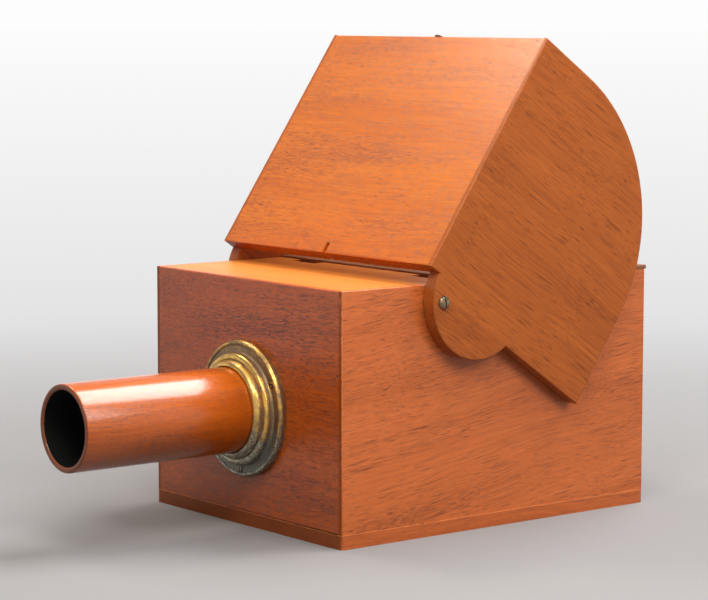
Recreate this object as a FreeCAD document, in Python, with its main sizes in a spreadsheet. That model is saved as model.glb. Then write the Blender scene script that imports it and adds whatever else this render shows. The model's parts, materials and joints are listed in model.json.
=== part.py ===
# A box camera obscura with a folding viewing hood, every piece a solid of its own, in millimetres.
# X runs to the right of someone who faces the front, Y from the front to the back and Z up.
# The origin is the middle of the base board's underside, and the lens tube points along -Y.
import FreeCAD, Part
import math
import os
import re
import Sketcher
from FreeCAD import Placement, Rotation, Vector

# The driving dimensions, in millimetres, with the one angle in degrees.
SIZES = {
    # the box
    "box_width": 193.0,          # over the outer faces of the side walls
    "box_depth": 246.5,          # over the front and back walls
    "box_height": 153.5,         # from the table to the top board's upper face
    "wall": 8.7,                 # thickness of the four wall boards
    "lap": 3.0,                  # width of the lip that each lap joint leaves in view
    "edge_round": 0.8,           # rounding of the outer edges
    "base_thickness": 8.5,
    "base_proud": 0.5,           # how far the base board stands out past the walls
    "base_corner": 2.5,          # rounding of the base board's four corners
    "top_thickness": 7.5,
    "top_length": 99.0,          # from the front face to the top board's rear edge
    "notch_spacing": 123.0,      # between the middles of the two finger notches
    "notch_width": 26.0,
    "notch_depth": 9.0,
    # the wood screws that hold the base board
    "base_screw_inset": 42.0,    # from the front and back faces to the side walls' screws
    "base_screw_head": 3.6,      # radius of the countersunk head
    "base_screw_shank": 1.9,     # radius of the shank
    "base_screw_length": 25.0,
    "base_screw_sink": 0.4,      # how far the head lies below the board's surface
    "screw_fit": 0.05,           # gap round a screw's shank
    # the lens tube and what guides it
    "axis_height": 73.3,         # from the table to the optical axis
    "tube_radius": 26.4,
    "tube_wall": 3.6,
    "tube_length": 165.0,
    "tube_reach": 131.0,         # from the front face to the tube's mouth, as drawn out here
    "tube_lip": 1.2,             # rounding of the tube's mouth
    "slide_fit": 0.05,           # gap between the tube and the felt
    "felt_thickness": 1.0,
    "glue_gap": 0.05,            # gap between the felt and the wood round it
    "guide_wall": 10.0,          # thickness of the wooden ring behind the front wall
    "guide_length": 20.0,
    # the turned brass flange, from its bore outwards and from the wall forwards
    "flange_clear": 0.4,         # gap between the tube and the flange
    "collar_wall": 1.9,
    "fine_bead": 2.0,
    "bold_bead": 3.3,
    "land": 6.4,                 # the flat ring that carries the screws
    "rim": 2.0,
    "land_thickness": 4.2,
    "rim_height": 0.8,           # above the land
    "bold_height": 4.6,          # above the land
    "fine_height": 2.6,          # above the bold bead
    "collar_height": 2.8,        # above the fine bead
    "bead_round": 0.9,
    "flange_screw_head": 3.0,
    "flange_screw_shank": 1.5,
    "flange_screw_length": 11.0,
    "driver_slot": 0.9,          # width of the screwdriver slots
    "slot_cut": 0.9,             # depth of the screwdriver slots
    # the lens in the tube's inner end
    "lens_seat": 1.6,            # how much wider than the bore the lens's pocket is
    "lens_stop": 1.3,            # how far the ring that the lens rests on stands inside the bore
    "lens_stop_length": 4.0,
    "lens_fit": 0.1,             # gap round the lens and its ring
    "lens_edge": 2.0,
    "lens_curve": 177.0,         # radius of both faces, for a focal length of about 170
    "ring_length": 4.0,
    "ring_wall": 2.4,
    # the mirror at 45 degrees
    "mirror_length": 150.0,      # along the slope
    "mirror_thickness": 3.0,
    "mirror_gap": 0.5,           # between the mirror and the side walls
    "backboard_thickness": 5.0,
    "stop_width": 5.0,           # of the strips above and below the mirror
    "stop_lip": 1.0,             # how far those strips stand above the mirror
    "bearer_length": 120.0,
    "bearer_side": 10.0,         # of the bearers' square section
    # the lift-out ground-glass screen
    "seat_drop": 1.5,            # from the top board's upper face down to the screen's seat
    "screen_flange": 2.6,
    "screen_rim": 6.0,           # depth of the frame below its seat
    "screen_fit": 0.4,           # gap between the frame's rim and the walls
    "screen_gap": 0.5,           # between the top board and the frame
    "screen_overhang": 1.1,      # past the back wall
    "screen_margin": 14.0,       # width of the frame round its window
    "glass_ledge": 5.0,
    "glass_thickness": 2.0,
    "glass_fit": 0.3,
    # the folding hood, measured from its pivot along and across the panel
    "pivot_back": 69.6,          # from the front face to the pivot
    "pivot_drop": 10.2,          # from the top board's upper face down to the pivot
    "hood_open": 55.5,           # degrees up from closed
    "panel_front": 12.9,         # from the pivot to the panel's front end
    "panel_rise": 12.6,          # from the pivot to the panel's inner face
    "panel_length": 162.6,
    "panel_thickness": 8.7,
    "cheek_thickness": 9.3,
    "cheek_gap": 0.4,            # between the cheeks and the side walls
    "cheek_lip": 4.5,            # of the cheeks' edge beside the panel
    "cheek_front": 3.0,          # from the pivot to the straight front edge
    "cheek_drop": 130.8,         # from the pivot to the bottom edge
    "cheek_sweep": 108.0,        # radius of the large rear corner
    "lobe_radius": 36.6,         # of the round ear about the pivot
    "lobe_back": 2.9,            # from the panel's front end back to the ear's centre
    "slot_width": 3.3,           # of the slot in the panel's front end
    "slot_length": 7.2,
    "slot_offset": 1.5,          # from the middle to the right
    "pivot_head": 3.8,           # radius of the pivot screws' round heads
    "pivot_dome": 2.4,
    "pivot_shank": 2.1,
    "pivot_length": 17.0,
    "pivot_fit": 0.05,           # gap between the cheek and the shank
    "pivot_clear": 0.05,         # gaps beside the washer and under the screw head
    "washer_radius": 8.0,
    "stud_head": 4.3,
    "stud_dome": 1.7,
    "stud_neck": 1.2,            # length of the neck between the panel and the head
    "stud_shank": 1.8,
    "stud_length": 12.0,
}

doc = FreeCAD.newDocument("camera_obscura")
sheet = doc.addObject("Spreadsheet::Sheet", "sizes")
for row, (size_name, number) in enumerate(SIZES.items(), start=1):
    sheet.set("A%d" % row, size_name)
    sheet.set("B%d" % row, str(number))
    sheet.setAlias("B%d" % row, size_name)
doc.recompute()

SPARE_CELL = "D1"
OVERSHOOT = "1"                  # how far a cutting shape runs past the face that it cuts
TOLERANCE = 1e-4
pieces = []

# Places that many pieces share, as expressions.
SIDE = "(box_width / 2)"
INNER = "(box_width / 2 - wall)"
LIP = "(box_width / 2 - lap)"
FRONT = "(-box_depth / 2)"
BACK = "(box_depth / 2)"
SEAT = "(box_height - seat_drop)"
TOP_END = f"({FRONT} + top_length)"
TOP_UNDER = "(box_height - top_thickness)"
PIVOT_Y = f"({FRONT} + pivot_back)"
PIVOT_Z = "(box_height - pivot_drop)"
CHEEK_INNER = f"({SIDE} + cheek_gap)"
CHEEK_OUTER = f"({CHEEK_INNER} + cheek_thickness)"
PIVOT_FACE = f"({CHEEK_OUTER} + pivot_clear)"
PANEL_END = "(panel_front + panel_length)"
PANEL_TOP = "(panel_rise + panel_thickness)"


# Writing sizes into features
def in_sheet(text):
    """The expression with every size written as a cell of the sheet."""
    def cell(word):
        return "sizes." + word.group() if word.group() in SIZES else word.group()
    return re.sub(r"[a-z][a-z_]*", cell, text)


def value(text):
    """The number that an expression comes to, worked out in a spare cell."""
    sheet.set(SPARE_CELL, "=" + text)
    sheet.recompute()
    return float(sheet.get(SPARE_CELL))


def bind(feature, **expressions):
    for name, text in expressions.items():
        feature.setExpression(name, in_sheet(text))


def put(thing, x="0", y="0", z="0"):
    for axis, text in zip("xyz", (x, y, z)):
        thing.setExpression(".Placement.Base." + axis, in_sheet(text))


def new_body(label):
    body = doc.addObject("PartDesign::Body", label)
    body.Label = label
    return body


def keep(piece):
    """Lists a finished piece among those that are written out."""
    pieces.append(piece)
    return piece


# Boards are boxes, with what is cut away from them
def box(body, kind, name, x, y, z):
    feature = body.newObject("PartDesign::" + kind + "Box", name)
    low = [pair[0] for pair in (x, y, z)]
    bind(feature, Length=f"({x[1]}) - ({x[0]})", Width=f"({y[1]}) - ({y[0]})", Height=f"({z[1]}) - ({z[0]})")
    put(feature, *low)
    return feature


def both(half):
    """The low and high ends of something that lies evenly about the middle."""
    return (f"-({half})", half)


def board(label, x, y, z):
    body = new_body(label)
    box(body, "Additive", label + "_board", x, y, z)
    return keep(body)


def cut(body, name, x, y, z):
    return box(body, "Subtractive", name, x, y, z)


TURNS = {
    "x": Rotation(Vector(0, 1, 0), 90),
    "y": Rotation(Vector(1, 0, 0), -90),
    "z": Rotation(),
}


def bore(body, name, axis, radius, length, x, y, z):
    """A round hole that starts at the point given and runs along +X, +Y or +Z."""
    hole = body.newObject("PartDesign::SubtractiveCylinder", name)
    hole.Placement = Placement(Vector(), TURNS[axis])
    bind(hole, Radius=radius, Height=length)
    put(hole, x, y, z)
    return hole


def countersink(body, name, axis, start_radius, end_radius, length, x, y, z):
    sink = body.newObject("PartDesign::SubtractiveCone", name)
    sink.Placement = Placement(Vector(), TURNS[axis])
    bind(sink, Radius1=start_radius, Radius2=end_radius, Height=length)
    put(sink, x, y, z)
    return sink


def round_edges(body, radius, wanted):
    """Rounds the edges of the body so far that the test picks out."""
    doc.recompute()
    base = body.Tip
    names = ["Edge%d" % n for n, edge in enumerate(base.Shape.Edges, start=1) if wanted(edge)]
    fillet = body.newObject("PartDesign::Fillet", body.Label + "_round")
    fillet.Base = (base, names)
    bind(fillet, Radius=radius)
    return fillet


def near(a, b):
    return abs(a - b) < TOLERANCE


def straight_along(edge, axis):
    """Whether an edge is a straight one along the X, Y or Z axis."""
    ends = [vertex.Point for vertex in edge.Vertexes]
    if len(ends) < 2 or edge.Curve.TypeId != "Part::GeomLine":
        return False
    others = [n for n in range(3) if n != "xyz".index(axis)]
    return all(near(ends[0][n], ends[1][n]) for n in others)


# Outlines: corners as pairs of expressions, with some sides bowed into arcs
def arc_between(start, end, radius, clockwise):
    """The arc of a circle from start to end, as the sketcher draws it, always counterclockwise."""
    first, last = (end, start) if clockwise else (start, end)
    chord = last - first
    height = math.sqrt(max(radius ** 2 - (chord.Length / 2) ** 2, 0.0))
    middle = (first + last) * 0.5
    across = Vector(-chord.y, chord.x, 0).normalize()
    centre = middle + across * height
    angles = [math.atan2(p.y - centre.y, p.x - centre.x) for p in (first, last)]
    circle = Part.Circle(centre, Vector(0, 0, 1), radius)
    return Part.ArcOfCircle(circle, angles[0], angles[1])


def outline(body, name, plane, corners, arcs=None):
    """A closed outline. arcs maps a corner's number to the radius and turn of the side after it."""
    arcs = arcs or {}
    sketch = body.newObject("Sketcher::SketchObject", name)
    origin_plane = [part for part in body.Origin.OriginFeatures if part.Role == plane][0]
    sketch.AttachmentSupport = [(origin_plane, "")]
    sketch.MapMode = "FlatFace"
    points = [Vector(value(u), value(v), 0) for u, v in corners]
    count = len(points)
    for n in range(count):
        start, end = points[n], points[(n + 1) % count]
        if n in arcs:
            radius, turn = arcs[n]
            sketch.addGeometry(arc_between(start, end, value(radius), turn == "clockwise"))
        else:
            sketch.addGeometry(Part.LineSegment(start, end))

    def ends(n):
        return (2, 1) if n in arcs and arcs[n][1] == "clockwise" else (1, 2)

    for n in range(count):
        following = (n + 1) % count
        sketch.addConstraint(Sketcher.Constraint("Coincident", n, ends(n)[1], following, ends(following)[0]))
    for n, (u, v) in enumerate(corners):
        for direction, text, axis_line in (("DistanceX", u, -2), ("DistanceY", v, -1)):
            if text == "0":
                sketch.addConstraint(Sketcher.Constraint("PointOnObject", n, ends(n)[0], axis_line))
                continue
            rule = Sketcher.Constraint(direction, -1, 1, n, ends(n)[0], value(text))
            bind(sketch, **{"Constraints[%d]" % sketch.addConstraint(rule): text})
    for n, (radius, _) in arcs.items():
        rule = Sketcher.Constraint("Radius", n, value(radius))
        bind(sketch, **{"Constraints[%d]" % sketch.addConstraint(rule): radius})
    return sketch


def turned(label, corners, arcs=None, axis="V_Axis"):
    """A piece turned on a lathe: the outline swept right round the sketch's upright or level axis."""
    body = new_body(label)
    sketch = outline(body, label + "_profile", "XY_Plane", corners, arcs)
    turning = body.newObject("PartDesign::Revolution", label + "_turning")
    turning.Profile = sketch
    turning.ReferenceAxis = (sketch, [axis])
    turning.Angle = 360
    return body


def ring_edge(radius, y):
    """A test for the round edge of that radius at that place along a turned piece's axis."""
    wanted_radius, wanted_y = value(radius), value(y)

    def test(edge):
        if edge.Curve.TypeId != "Part::GeomCircle":
            return False
        return near(edge.Curve.Radius, wanted_radius) and near(edge.Curve.Center.y, wanted_y)
    return test


def any_of(*tests):
    return lambda edge: any(test(edge) for test in tests)


def group(label, members):
    """Several like pieces kept as one node of separate solids."""
    compound = doc.addObject("Part::Compound", label)
    compound.Label = label
    compound.Links = members
    return keep(compound)


def mirrored(label, source):
    """The same piece for the left side, mirrored in the plane between the two."""
    copy = doc.addObject("Part::Mirroring", label)
    copy.Label = label
    copy.Source = source
    copy.Normal = Vector(1, 0, 0)
    return keep(copy)


# Screw heads
def dome_radius(head, dome):
    return f"(({head})^2 + ({dome})^2) / (2 * ({dome}))"


def sunk_screw(label, head, shank, length, axis):
    """A countersunk wood screw whose head lies at the origin; axis is where its point lies."""
    slope = f"({head} - {shank})"
    corners = [("0", "0"), (head, "0"), (shank, slope), (shank, length), ("0", length)]
    body = turned(label, corners)
    turn = {"y": Rotation(), "z": Rotation(Vector(1, 0, 0), 90)}[axis]
    body.Placement = Placement(Vector(), turn)
    return body


# Base board, walls and top board
SCREW_X = f"({SIDE} - wall / 2)"
SCREW_Y = f"({BACK} - base_screw_inset)"
BASE_SCREWS = {
    "right_wall": [(SCREW_X, f"-{SCREW_Y}"), (SCREW_X, SCREW_Y)],
    "left_wall": [(f"-{SCREW_X}", f"-{SCREW_Y}"), (f"-{SCREW_X}", SCREW_Y)],
    "front_wall": [("0", f"{FRONT} + wall / 2")],
    "back_wall": [("0", f"{BACK} - wall / 2")],
}
SCREW_SPOTS = [spot for spots in BASE_SCREWS.values() for spot in spots]
SCREW_TOP = "(base_screw_sink + base_screw_length)"


def base_board():
    body = board("base_board", both(f"{SIDE} + base_proud"), both(f"{BACK} + base_proud"),
                 ("0", "base_thickness"))
    round_edges(body, "base_corner", lambda edge: straight_along(edge, "z"))
    doc.recompute()
    lowest, highest = 0.0, value("base_thickness")

    def face_edge(edge):
        heights = [vertex.Z for vertex in edge.Vertexes]
        return all(near(z, lowest) for z in heights) or all(near(z, highest) for z in heights)

    round_edges(body, "edge_round", face_edge)
    for n, (x, y) in enumerate(SCREW_SPOTS):
        bore(body, "base_hole_%d" % n, "z", "base_screw_shank + screw_fit",
             f"base_thickness + 2 * {OVERSHOOT}", x, y, f"-{OVERSHOOT}")
        bore(body, "base_sink_%d" % n, "z", "base_screw_head", f"base_screw_sink + {OVERSHOOT}",
             x, y, f"-{OVERSHOOT}")
        countersink(body, "base_cone_%d" % n, "z", "base_screw_head", "base_screw_shank",
                    "base_screw_head - base_screw_shank", x, y, "base_screw_sink")


def base_screws():
    members = []
    for n, (x, y) in enumerate(SCREW_SPOTS):
        body = sunk_screw("base_screw_%d" % n, "base_screw_head", "base_screw_shank",
                          "base_screw_length", "z")
        put(body, x, y, "base_screw_sink")
        members.append(body)
    group("base_screws", members)


def screw_pilots(body, spots):
    """The holes in the walls' lower edges that take the base screws."""
    for n, (x, y) in enumerate(spots):
        bore(body, "%s_pilot_%d" % (body.Label, n), "z", "base_screw_shank + screw_fit",
             f"{SCREW_TOP} - base_thickness + {OVERSHOOT} + screw_fit", x, y, f"base_thickness - {OVERSHOOT}")


def right_wall():
    """A side wall, lapped over the front and back walls and rebated for the top board."""
    body = board("right_wall", (INNER, SIDE), both(BACK), ("base_thickness", "box_height"))
    inside = (f"{INNER} - {OVERSHOOT}", LIP)
    upright = (f"base_thickness - {OVERSHOOT}", f"box_height + {OVERSHOOT}")
    cut(body, "wall_front_lap", inside, (f"{FRONT} - {OVERSHOOT}", f"{FRONT} + wall"), upright)
    cut(body, "wall_back_lap", inside, (f"{BACK} - wall", f"{BACK} + {OVERSHOOT}"), upright)
    cut(body, "wall_top_rebate", inside, (f"{FRONT} - {OVERSHOOT}", TOP_END),
        (TOP_UNDER, f"box_height + {OVERSHOOT}"))
    cut(body, "wall_screen_seat", (f"{INNER} - {OVERSHOOT}", f"{SIDE} + {OVERSHOOT}"),
        (TOP_END, f"{BACK} + {OVERSHOOT}"), (SEAT, f"box_height + {OVERSHOOT}"))
    pilot_end = f"({PIVOT_FACE} - pivot_length - screw_fit)"
    bore(body, "wall_pivot_pilot", "x", "pivot_shank + screw_fit", f"{SIDE} - {pilot_end} + {OVERSHOOT}",
         pilot_end, PIVOT_Y, PIVOT_Z)
    screw_pilots(body, BASE_SCREWS["right_wall"])
    outer, front, back, top = value(SIDE), value(FRONT), value(BACK), value("box_height")

    def outer_edge(edge):
        ends = [vertex.Point for vertex in edge.Vertexes]
        if not all(near(p.x, outer) for p in ends):
            return False
        upright_edge = straight_along(edge, "z") and (near(ends[0].y, front) or near(ends[0].y, back))
        top_edge = straight_along(edge, "y") and near(ends[0].z, top)
        return upright_edge or top_edge

    round_edges(body, "edge_round", outer_edge)
    return body


def front_wall():
    body = board("front_wall", both(LIP), (FRONT, f"{FRONT} + wall"), ("base_thickness", "box_height"))
    cut(body, "front_top_rebate", both(f"{LIP} + {OVERSHOOT}"),
        (f"{FRONT} + lap", f"{FRONT} + wall + {OVERSHOOT}"), (TOP_UNDER, f"box_height + {OVERSHOOT}"))
    bore(body, "front_tube_hole", "y", f"{FELT_OUTER} + glue_gap", f"wall + 2 * {OVERSHOOT}",
         "0", f"{FRONT} - {OVERSHOOT}", "axis_height")
    for n, (x, z) in enumerate(FLANGE_SCREWS):
        bore(body, "front_pilot_%d" % n, "y", "flange_screw_shank + screw_fit",
             f"flange_screw_length - land_thickness + {OVERSHOOT} + screw_fit",
             x, f"{FRONT} - {OVERSHOOT}", z)
    screw_pilots(body, BASE_SCREWS["front_wall"])
    front, top = value(FRONT), value("box_height")

    def top_front(edge):
        ends = [vertex.Point for vertex in edge.Vertexes]
        return straight_along(edge, "x") and near(ends[0].y, front) and near(ends[0].z, top)

    round_edges(body, "edge_round", top_front)


def back_wall():
    body = board("back_wall", both(LIP), (f"{BACK} - wall", BACK), ("base_thickness", SEAT))
    screw_pilots(body, BASE_SCREWS["back_wall"])


def top_board():
    """The fixed front part of the top, with two notches for the fingers that lift the screen."""
    body = board("top_board", both(LIP), (f"{FRONT} + lap", TOP_END), (TOP_UNDER, "box_height"))
    for side, middle in (("left", "-notch_spacing / 2"), ("right", "notch_spacing / 2")):
        cut(body, side + "_finger_notch", (f"{middle} - notch_width / 2", f"{middle} + notch_width / 2"),
            (f"{TOP_END} - notch_depth", f"{TOP_END} + {OVERSHOOT}"),
            (f"{TOP_UNDER} - {OVERSHOOT}", f"box_height + {OVERSHOOT}"))


# Lens tube, its guide and its flange
FELT_INNER = "(tube_radius + slide_fit)"
FELT_OUTER = f"({FELT_INNER} + felt_thickness)"
FLANGE_BORE = "(tube_radius + flange_clear)"
COLLAR = f"({FLANGE_BORE} + collar_wall)"
FINE = f"({COLLAR} + fine_bead)"
BOLD = f"({FINE} + bold_bead)"
LAND = f"({BOLD} + land)"
FLANGE = f"({LAND} + rim)"
BOLD_TOP = "(land_thickness + bold_height)"
FINE_TOP = f"({BOLD_TOP} + fine_height)"
COLLAR_TOP = f"({FINE_TOP} + collar_height)"
SCREW_CIRCLE = f"({BOLD} + land / 2)"
FLANGE_SCREW_ANGLES = (30, 150, 270)
SLOT_ANGLES = (0, 60, 90)        # how each flange screw's slot happens to lie
FLANGE_SCREWS = [
    (f"{SCREW_CIRCLE} * cos({angle})", f"axis_height + {SCREW_CIRCLE} * sin({angle})")
    for angle in FLANGE_SCREW_ANGLES
]


def lens_flange():
    """The brass flange: a flat land for the screws, two rounded beads and a thin collar."""
    profile = [
        (FLANGE_BORE, "0"),
        (FLANGE, "0"),
        (FLANGE, "-(land_thickness + rim_height)"),
        (LAND, "-(land_thickness + rim_height)"),
        (LAND, "-land_thickness"),
        (BOLD, "-land_thickness"),
        (BOLD, f"-{BOLD_TOP}"),
        (FINE, f"-{BOLD_TOP}"),
        (FINE, f"-{FINE_TOP}"),
        (COLLAR, f"-{FINE_TOP}"),
        (COLLAR, f"-{COLLAR_TOP}"),
        (FLANGE_BORE, f"-{COLLAR_TOP}"),
    ]
    body = keep(turned("lens_flange", profile))
    put(body, "0", FRONT, "axis_height")
    round_edges(body, "bead_round", any_of(
        ring_edge(FLANGE, "-(land_thickness + rim_height)"),
        ring_edge(BOLD, f"-{BOLD_TOP}"),
        ring_edge(FINE, f"-{FINE_TOP}"),
        ring_edge(COLLAR, f"-{COLLAR_TOP}"),
    ))
    for n, angle in enumerate(FLANGE_SCREW_ANGLES):
        x, z = f"{SCREW_CIRCLE} * cos({angle})", f"{SCREW_CIRCLE} * sin({angle})"
        bore(body, "flange_hole_%d" % n, "y", "flange_screw_shank + screw_fit",
             f"land_thickness + 2 * {OVERSHOOT}", x, f"-land_thickness - {OVERSHOOT}", z)
        countersink(body, "flange_cone_%d" % n, "y", "flange_screw_head", "flange_screw_shank",
                    "flange_screw_head - flange_screw_shank", x, "-land_thickness", z)


def flange_screws():
    members = []
    for n, (x, z) in enumerate(FLANGE_SCREWS):
        body = sunk_screw("flange_screw_%d" % n, "flange_screw_head", "flange_screw_shank",
                          "flange_screw_length", "y")
        cut(body, "flange_slot_%d" % n, both(f"flange_screw_head + {OVERSHOOT}"),
            (f"-{OVERSHOOT}", "slot_cut"), both("driver_slot / 2"))
        body.Placement = Placement(Vector(), Rotation(Vector(0, 1, 0), -SLOT_ANGLES[n]))
        put(body, x, f"{FRONT} - land_thickness", z)
        members.append(body)
    group("flange_screws", members)


def tube_guide():
    """The ring behind the front wall and the felt sleeve that grips the tube."""
    guide_end = "wall + guide_length"
    ring = keep(turned("guide_ring", [
        (f"{FELT_OUTER} + glue_gap", "wall"),
        (f"{FELT_OUTER} + glue_gap + guide_wall", "wall"),
        (f"{FELT_OUTER} + glue_gap + guide_wall", guide_end),
        (f"{FELT_OUTER} + glue_gap", guide_end),
    ]))
    felt = keep(turned("felt_liner", [
        (FELT_INNER, "0"), (FELT_OUTER, "0"), (FELT_OUTER, guide_end), (FELT_INNER, guide_end),
    ]))
    for body in (ring, felt):
        put(body, "0", FRONT, "axis_height")


TUBE_BORE = "(tube_radius - tube_wall)"
LENS_POCKET = f"({TUBE_BORE} + lens_seat)"
LENS_RADIUS = f"({LENS_POCKET} - lens_fit)"
LENS_STOP = f"({TUBE_BORE} - lens_stop)"
SHOULDER = "(tube_length - lens_edge - ring_length)"


def lens_tube():
    """The draw tube, with a rounded mouth and a narrow stop ring inside that the lens rests on."""
    stop_front = f"({SHOULDER} - lens_stop_length)"
    body = keep(turned("lens_tube", [
        (TUBE_BORE, "0"), ("tube_radius", "0"), ("tube_radius", "tube_length"),
        (LENS_POCKET, "tube_length"), (LENS_POCKET, SHOULDER), (LENS_STOP, SHOULDER),
        (LENS_STOP, stop_front), (TUBE_BORE, stop_front),
    ]))
    round_edges(body, "tube_lip", any_of(ring_edge("tube_radius", "0"), ring_edge(TUBE_BORE, "0")))
    put_on_tube(body)


def put_on_tube(body):
    put(body, "0", f"{FRONT} - tube_reach", "axis_height")


def lens_and_ring():
    """A biconvex lens with a flat ground rim, and the brass ring that holds it in."""
    clear = f"({LENS_STOP} - lens_fit)"
    bulge = f"(lens_curve - sqrt(lens_curve^2 - {clear}^2))"
    behind = f"({SHOULDER} + lens_edge)"
    glass = keep(turned("lens_glass", [
        ("0", f"{SHOULDER} - {bulge}"), (clear, SHOULDER), (LENS_RADIUS, SHOULDER),
        (LENS_RADIUS, behind), (clear, behind), ("0", f"{behind} + {bulge}"),
    ], arcs={0: ("lens_curve", "counterclockwise"), 4: ("lens_curve", "counterclockwise")}))
    ring = keep(turned("lens_ring", [
        (f"{LENS_RADIUS} - ring_wall", behind), (LENS_RADIUS, behind),
        (LENS_RADIUS, "tube_length"), (f"{LENS_RADIUS} - ring_wall", "tube_length"),
    ]))
    for body in (glass, ring):
        put_on_tube(body)


# Mirror: built lying flat with its silvered face up, then tilted to 45 degrees on the optical axis
SCREEN_FRONT = f"({TOP_END} + screen_gap)"
SCREEN_BACK = f"({BACK} - wall - screen_fit)"
MIRROR_TILT = Rotation(Vector(1, 0, 0), 45)
BACKBOARD_UNDER = "(mirror_thickness + backboard_thickness)"


def tilt_mirror(body):
    body.Placement = Placement(Vector(), MIRROR_TILT)
    put(body, "0", f"({SCREEN_FRONT} + {SCREEN_BACK}) / 2", "axis_height")


def mirror():
    width = both(f"{INNER} - mirror_gap")
    half, end = "(mirror_length / 2)", "(mirror_length / 2 + stop_width)"
    tilt_mirror(board("mirror_glass", width, both(half), ("-mirror_thickness", "0")))
    tilt_mirror(board("mirror_backboard", width, both(end), (f"-{BACKBOARD_UNDER}", "-mirror_thickness")))
    stop_height = ("-mirror_thickness", "stop_lip")
    tilt_mirror(board("mirror_stop_low", width, (f"-{end}", f"-{half}"), stop_height))
    tilt_mirror(board("mirror_stop_high", width, (half, end), stop_height))
    bearer_height = (f"-{BACKBOARD_UNDER} - bearer_side", f"-{BACKBOARD_UNDER}")
    bearer_run = both("bearer_length / 2")
    for side, across in (("left", (f"-{INNER}", f"-{INNER} + bearer_side")),
                         ("right", (f"{INNER} - bearer_side", INNER))):
        tilt_mirror(board("mirror_bearer_" + side, across, bearer_run, bearer_height))


# Ground-glass screen: a rebated frame that drops between the walls, the glass and four beads
WINDOW_X = f"({INNER} - screen_fit - screen_margin)"
WINDOW_FRONT = f"({SCREEN_FRONT} + screen_margin)"
WINDOW_BACK = f"({SCREEN_BACK} - screen_margin)"


def screen():
    under = f"({SEAT} - screen_rim)"
    glass_under = f"({SEAT} - glass_thickness)"
    ledge_x = f"({WINDOW_X} + glass_ledge)"
    ledge_front, ledge_back = f"({WINDOW_FRONT} - glass_ledge)", f"({WINDOW_BACK} + glass_ledge)"
    frame = board("screen_frame", both(SIDE), (SCREEN_FRONT, f"{BACK} + screen_overhang"),
                  (SEAT, f"{SEAT} + screen_flange"))
    box(frame, "Additive", "screen_lower_rim", both(f"{INNER} - screen_fit"), (SCREEN_FRONT, SCREEN_BACK),
        (under, SEAT))
    cut(frame, "screen_window", both(WINDOW_X), (WINDOW_FRONT, WINDOW_BACK),
        (f"{under} - {OVERSHOOT}", f"{SEAT} + screen_flange + {OVERSHOOT}"))
    cut(frame, "screen_rebate", both(ledge_x), (ledge_front, ledge_back), (f"{under} - {OVERSHOOT}", SEAT))
    board("ground_glass", both(f"{ledge_x} - glass_fit"),
          (f"{ledge_front} + glass_fit", f"{ledge_back} - glass_fit"), (glass_under, SEAT))
    strip = (under, glass_under)
    board("screen_bead_front", both(ledge_x), (ledge_front, WINDOW_FRONT), strip)
    board("screen_bead_back", both(ledge_x), (WINDOW_BACK, ledge_back), strip)
    board("screen_bead_left", (f"-{ledge_x}", f"-{WINDOW_X}"), (WINDOW_FRONT, WINDOW_BACK), strip)
    board("screen_bead_right", (WINDOW_X, ledge_x), (WINDOW_FRONT, WINDOW_BACK), strip)


# Hood: built closed about its pivot, with Y along the panel, then swung open
def swing_open(body):
    body.Placement = Placement(Vector(), Rotation(Vector(1, 0, 0), SIZES["hood_open"]))
    put(body, "0", PIVOT_Y, PIVOT_Z)
    bind(body, **{".Placement.Rotation.Angle": "hood_open * 1 deg"})


def hood_panel():
    half = f"({CHEEK_OUTER} - cheek_lip)"
    body = board("hood_panel", both(half), ("panel_front", PANEL_END), ("panel_rise", PANEL_TOP))
    cut(body, "panel_slot", ("slot_offset - slot_width / 2", "slot_offset + slot_width / 2"),
        (f"panel_front - {OVERSHOOT}", "panel_front + slot_length"),
        (f"panel_rise - {OVERSHOOT}", f"{PANEL_TOP} + {OVERSHOOT}"))
    bore(body, "panel_stud_hole", "y", "stud_shank + screw_fit", f"stud_length + screw_fit + {OVERSHOOT}",
         "0", f"{PANEL_END} - stud_length - screw_fit", f"({PANEL_TOP} + panel_rise) / 2")
    front, end = value("panel_front"), value(PANEL_END)

    def end_edge(edge):
        ends = [vertex.Point for vertex in edge.Vertexes]
        return straight_along(edge, "x") and (near(ends[0].y, front) or near(ends[0].y, end))

    round_edges(body, "edge_round", end_edge)
    swing_open(body)


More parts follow.
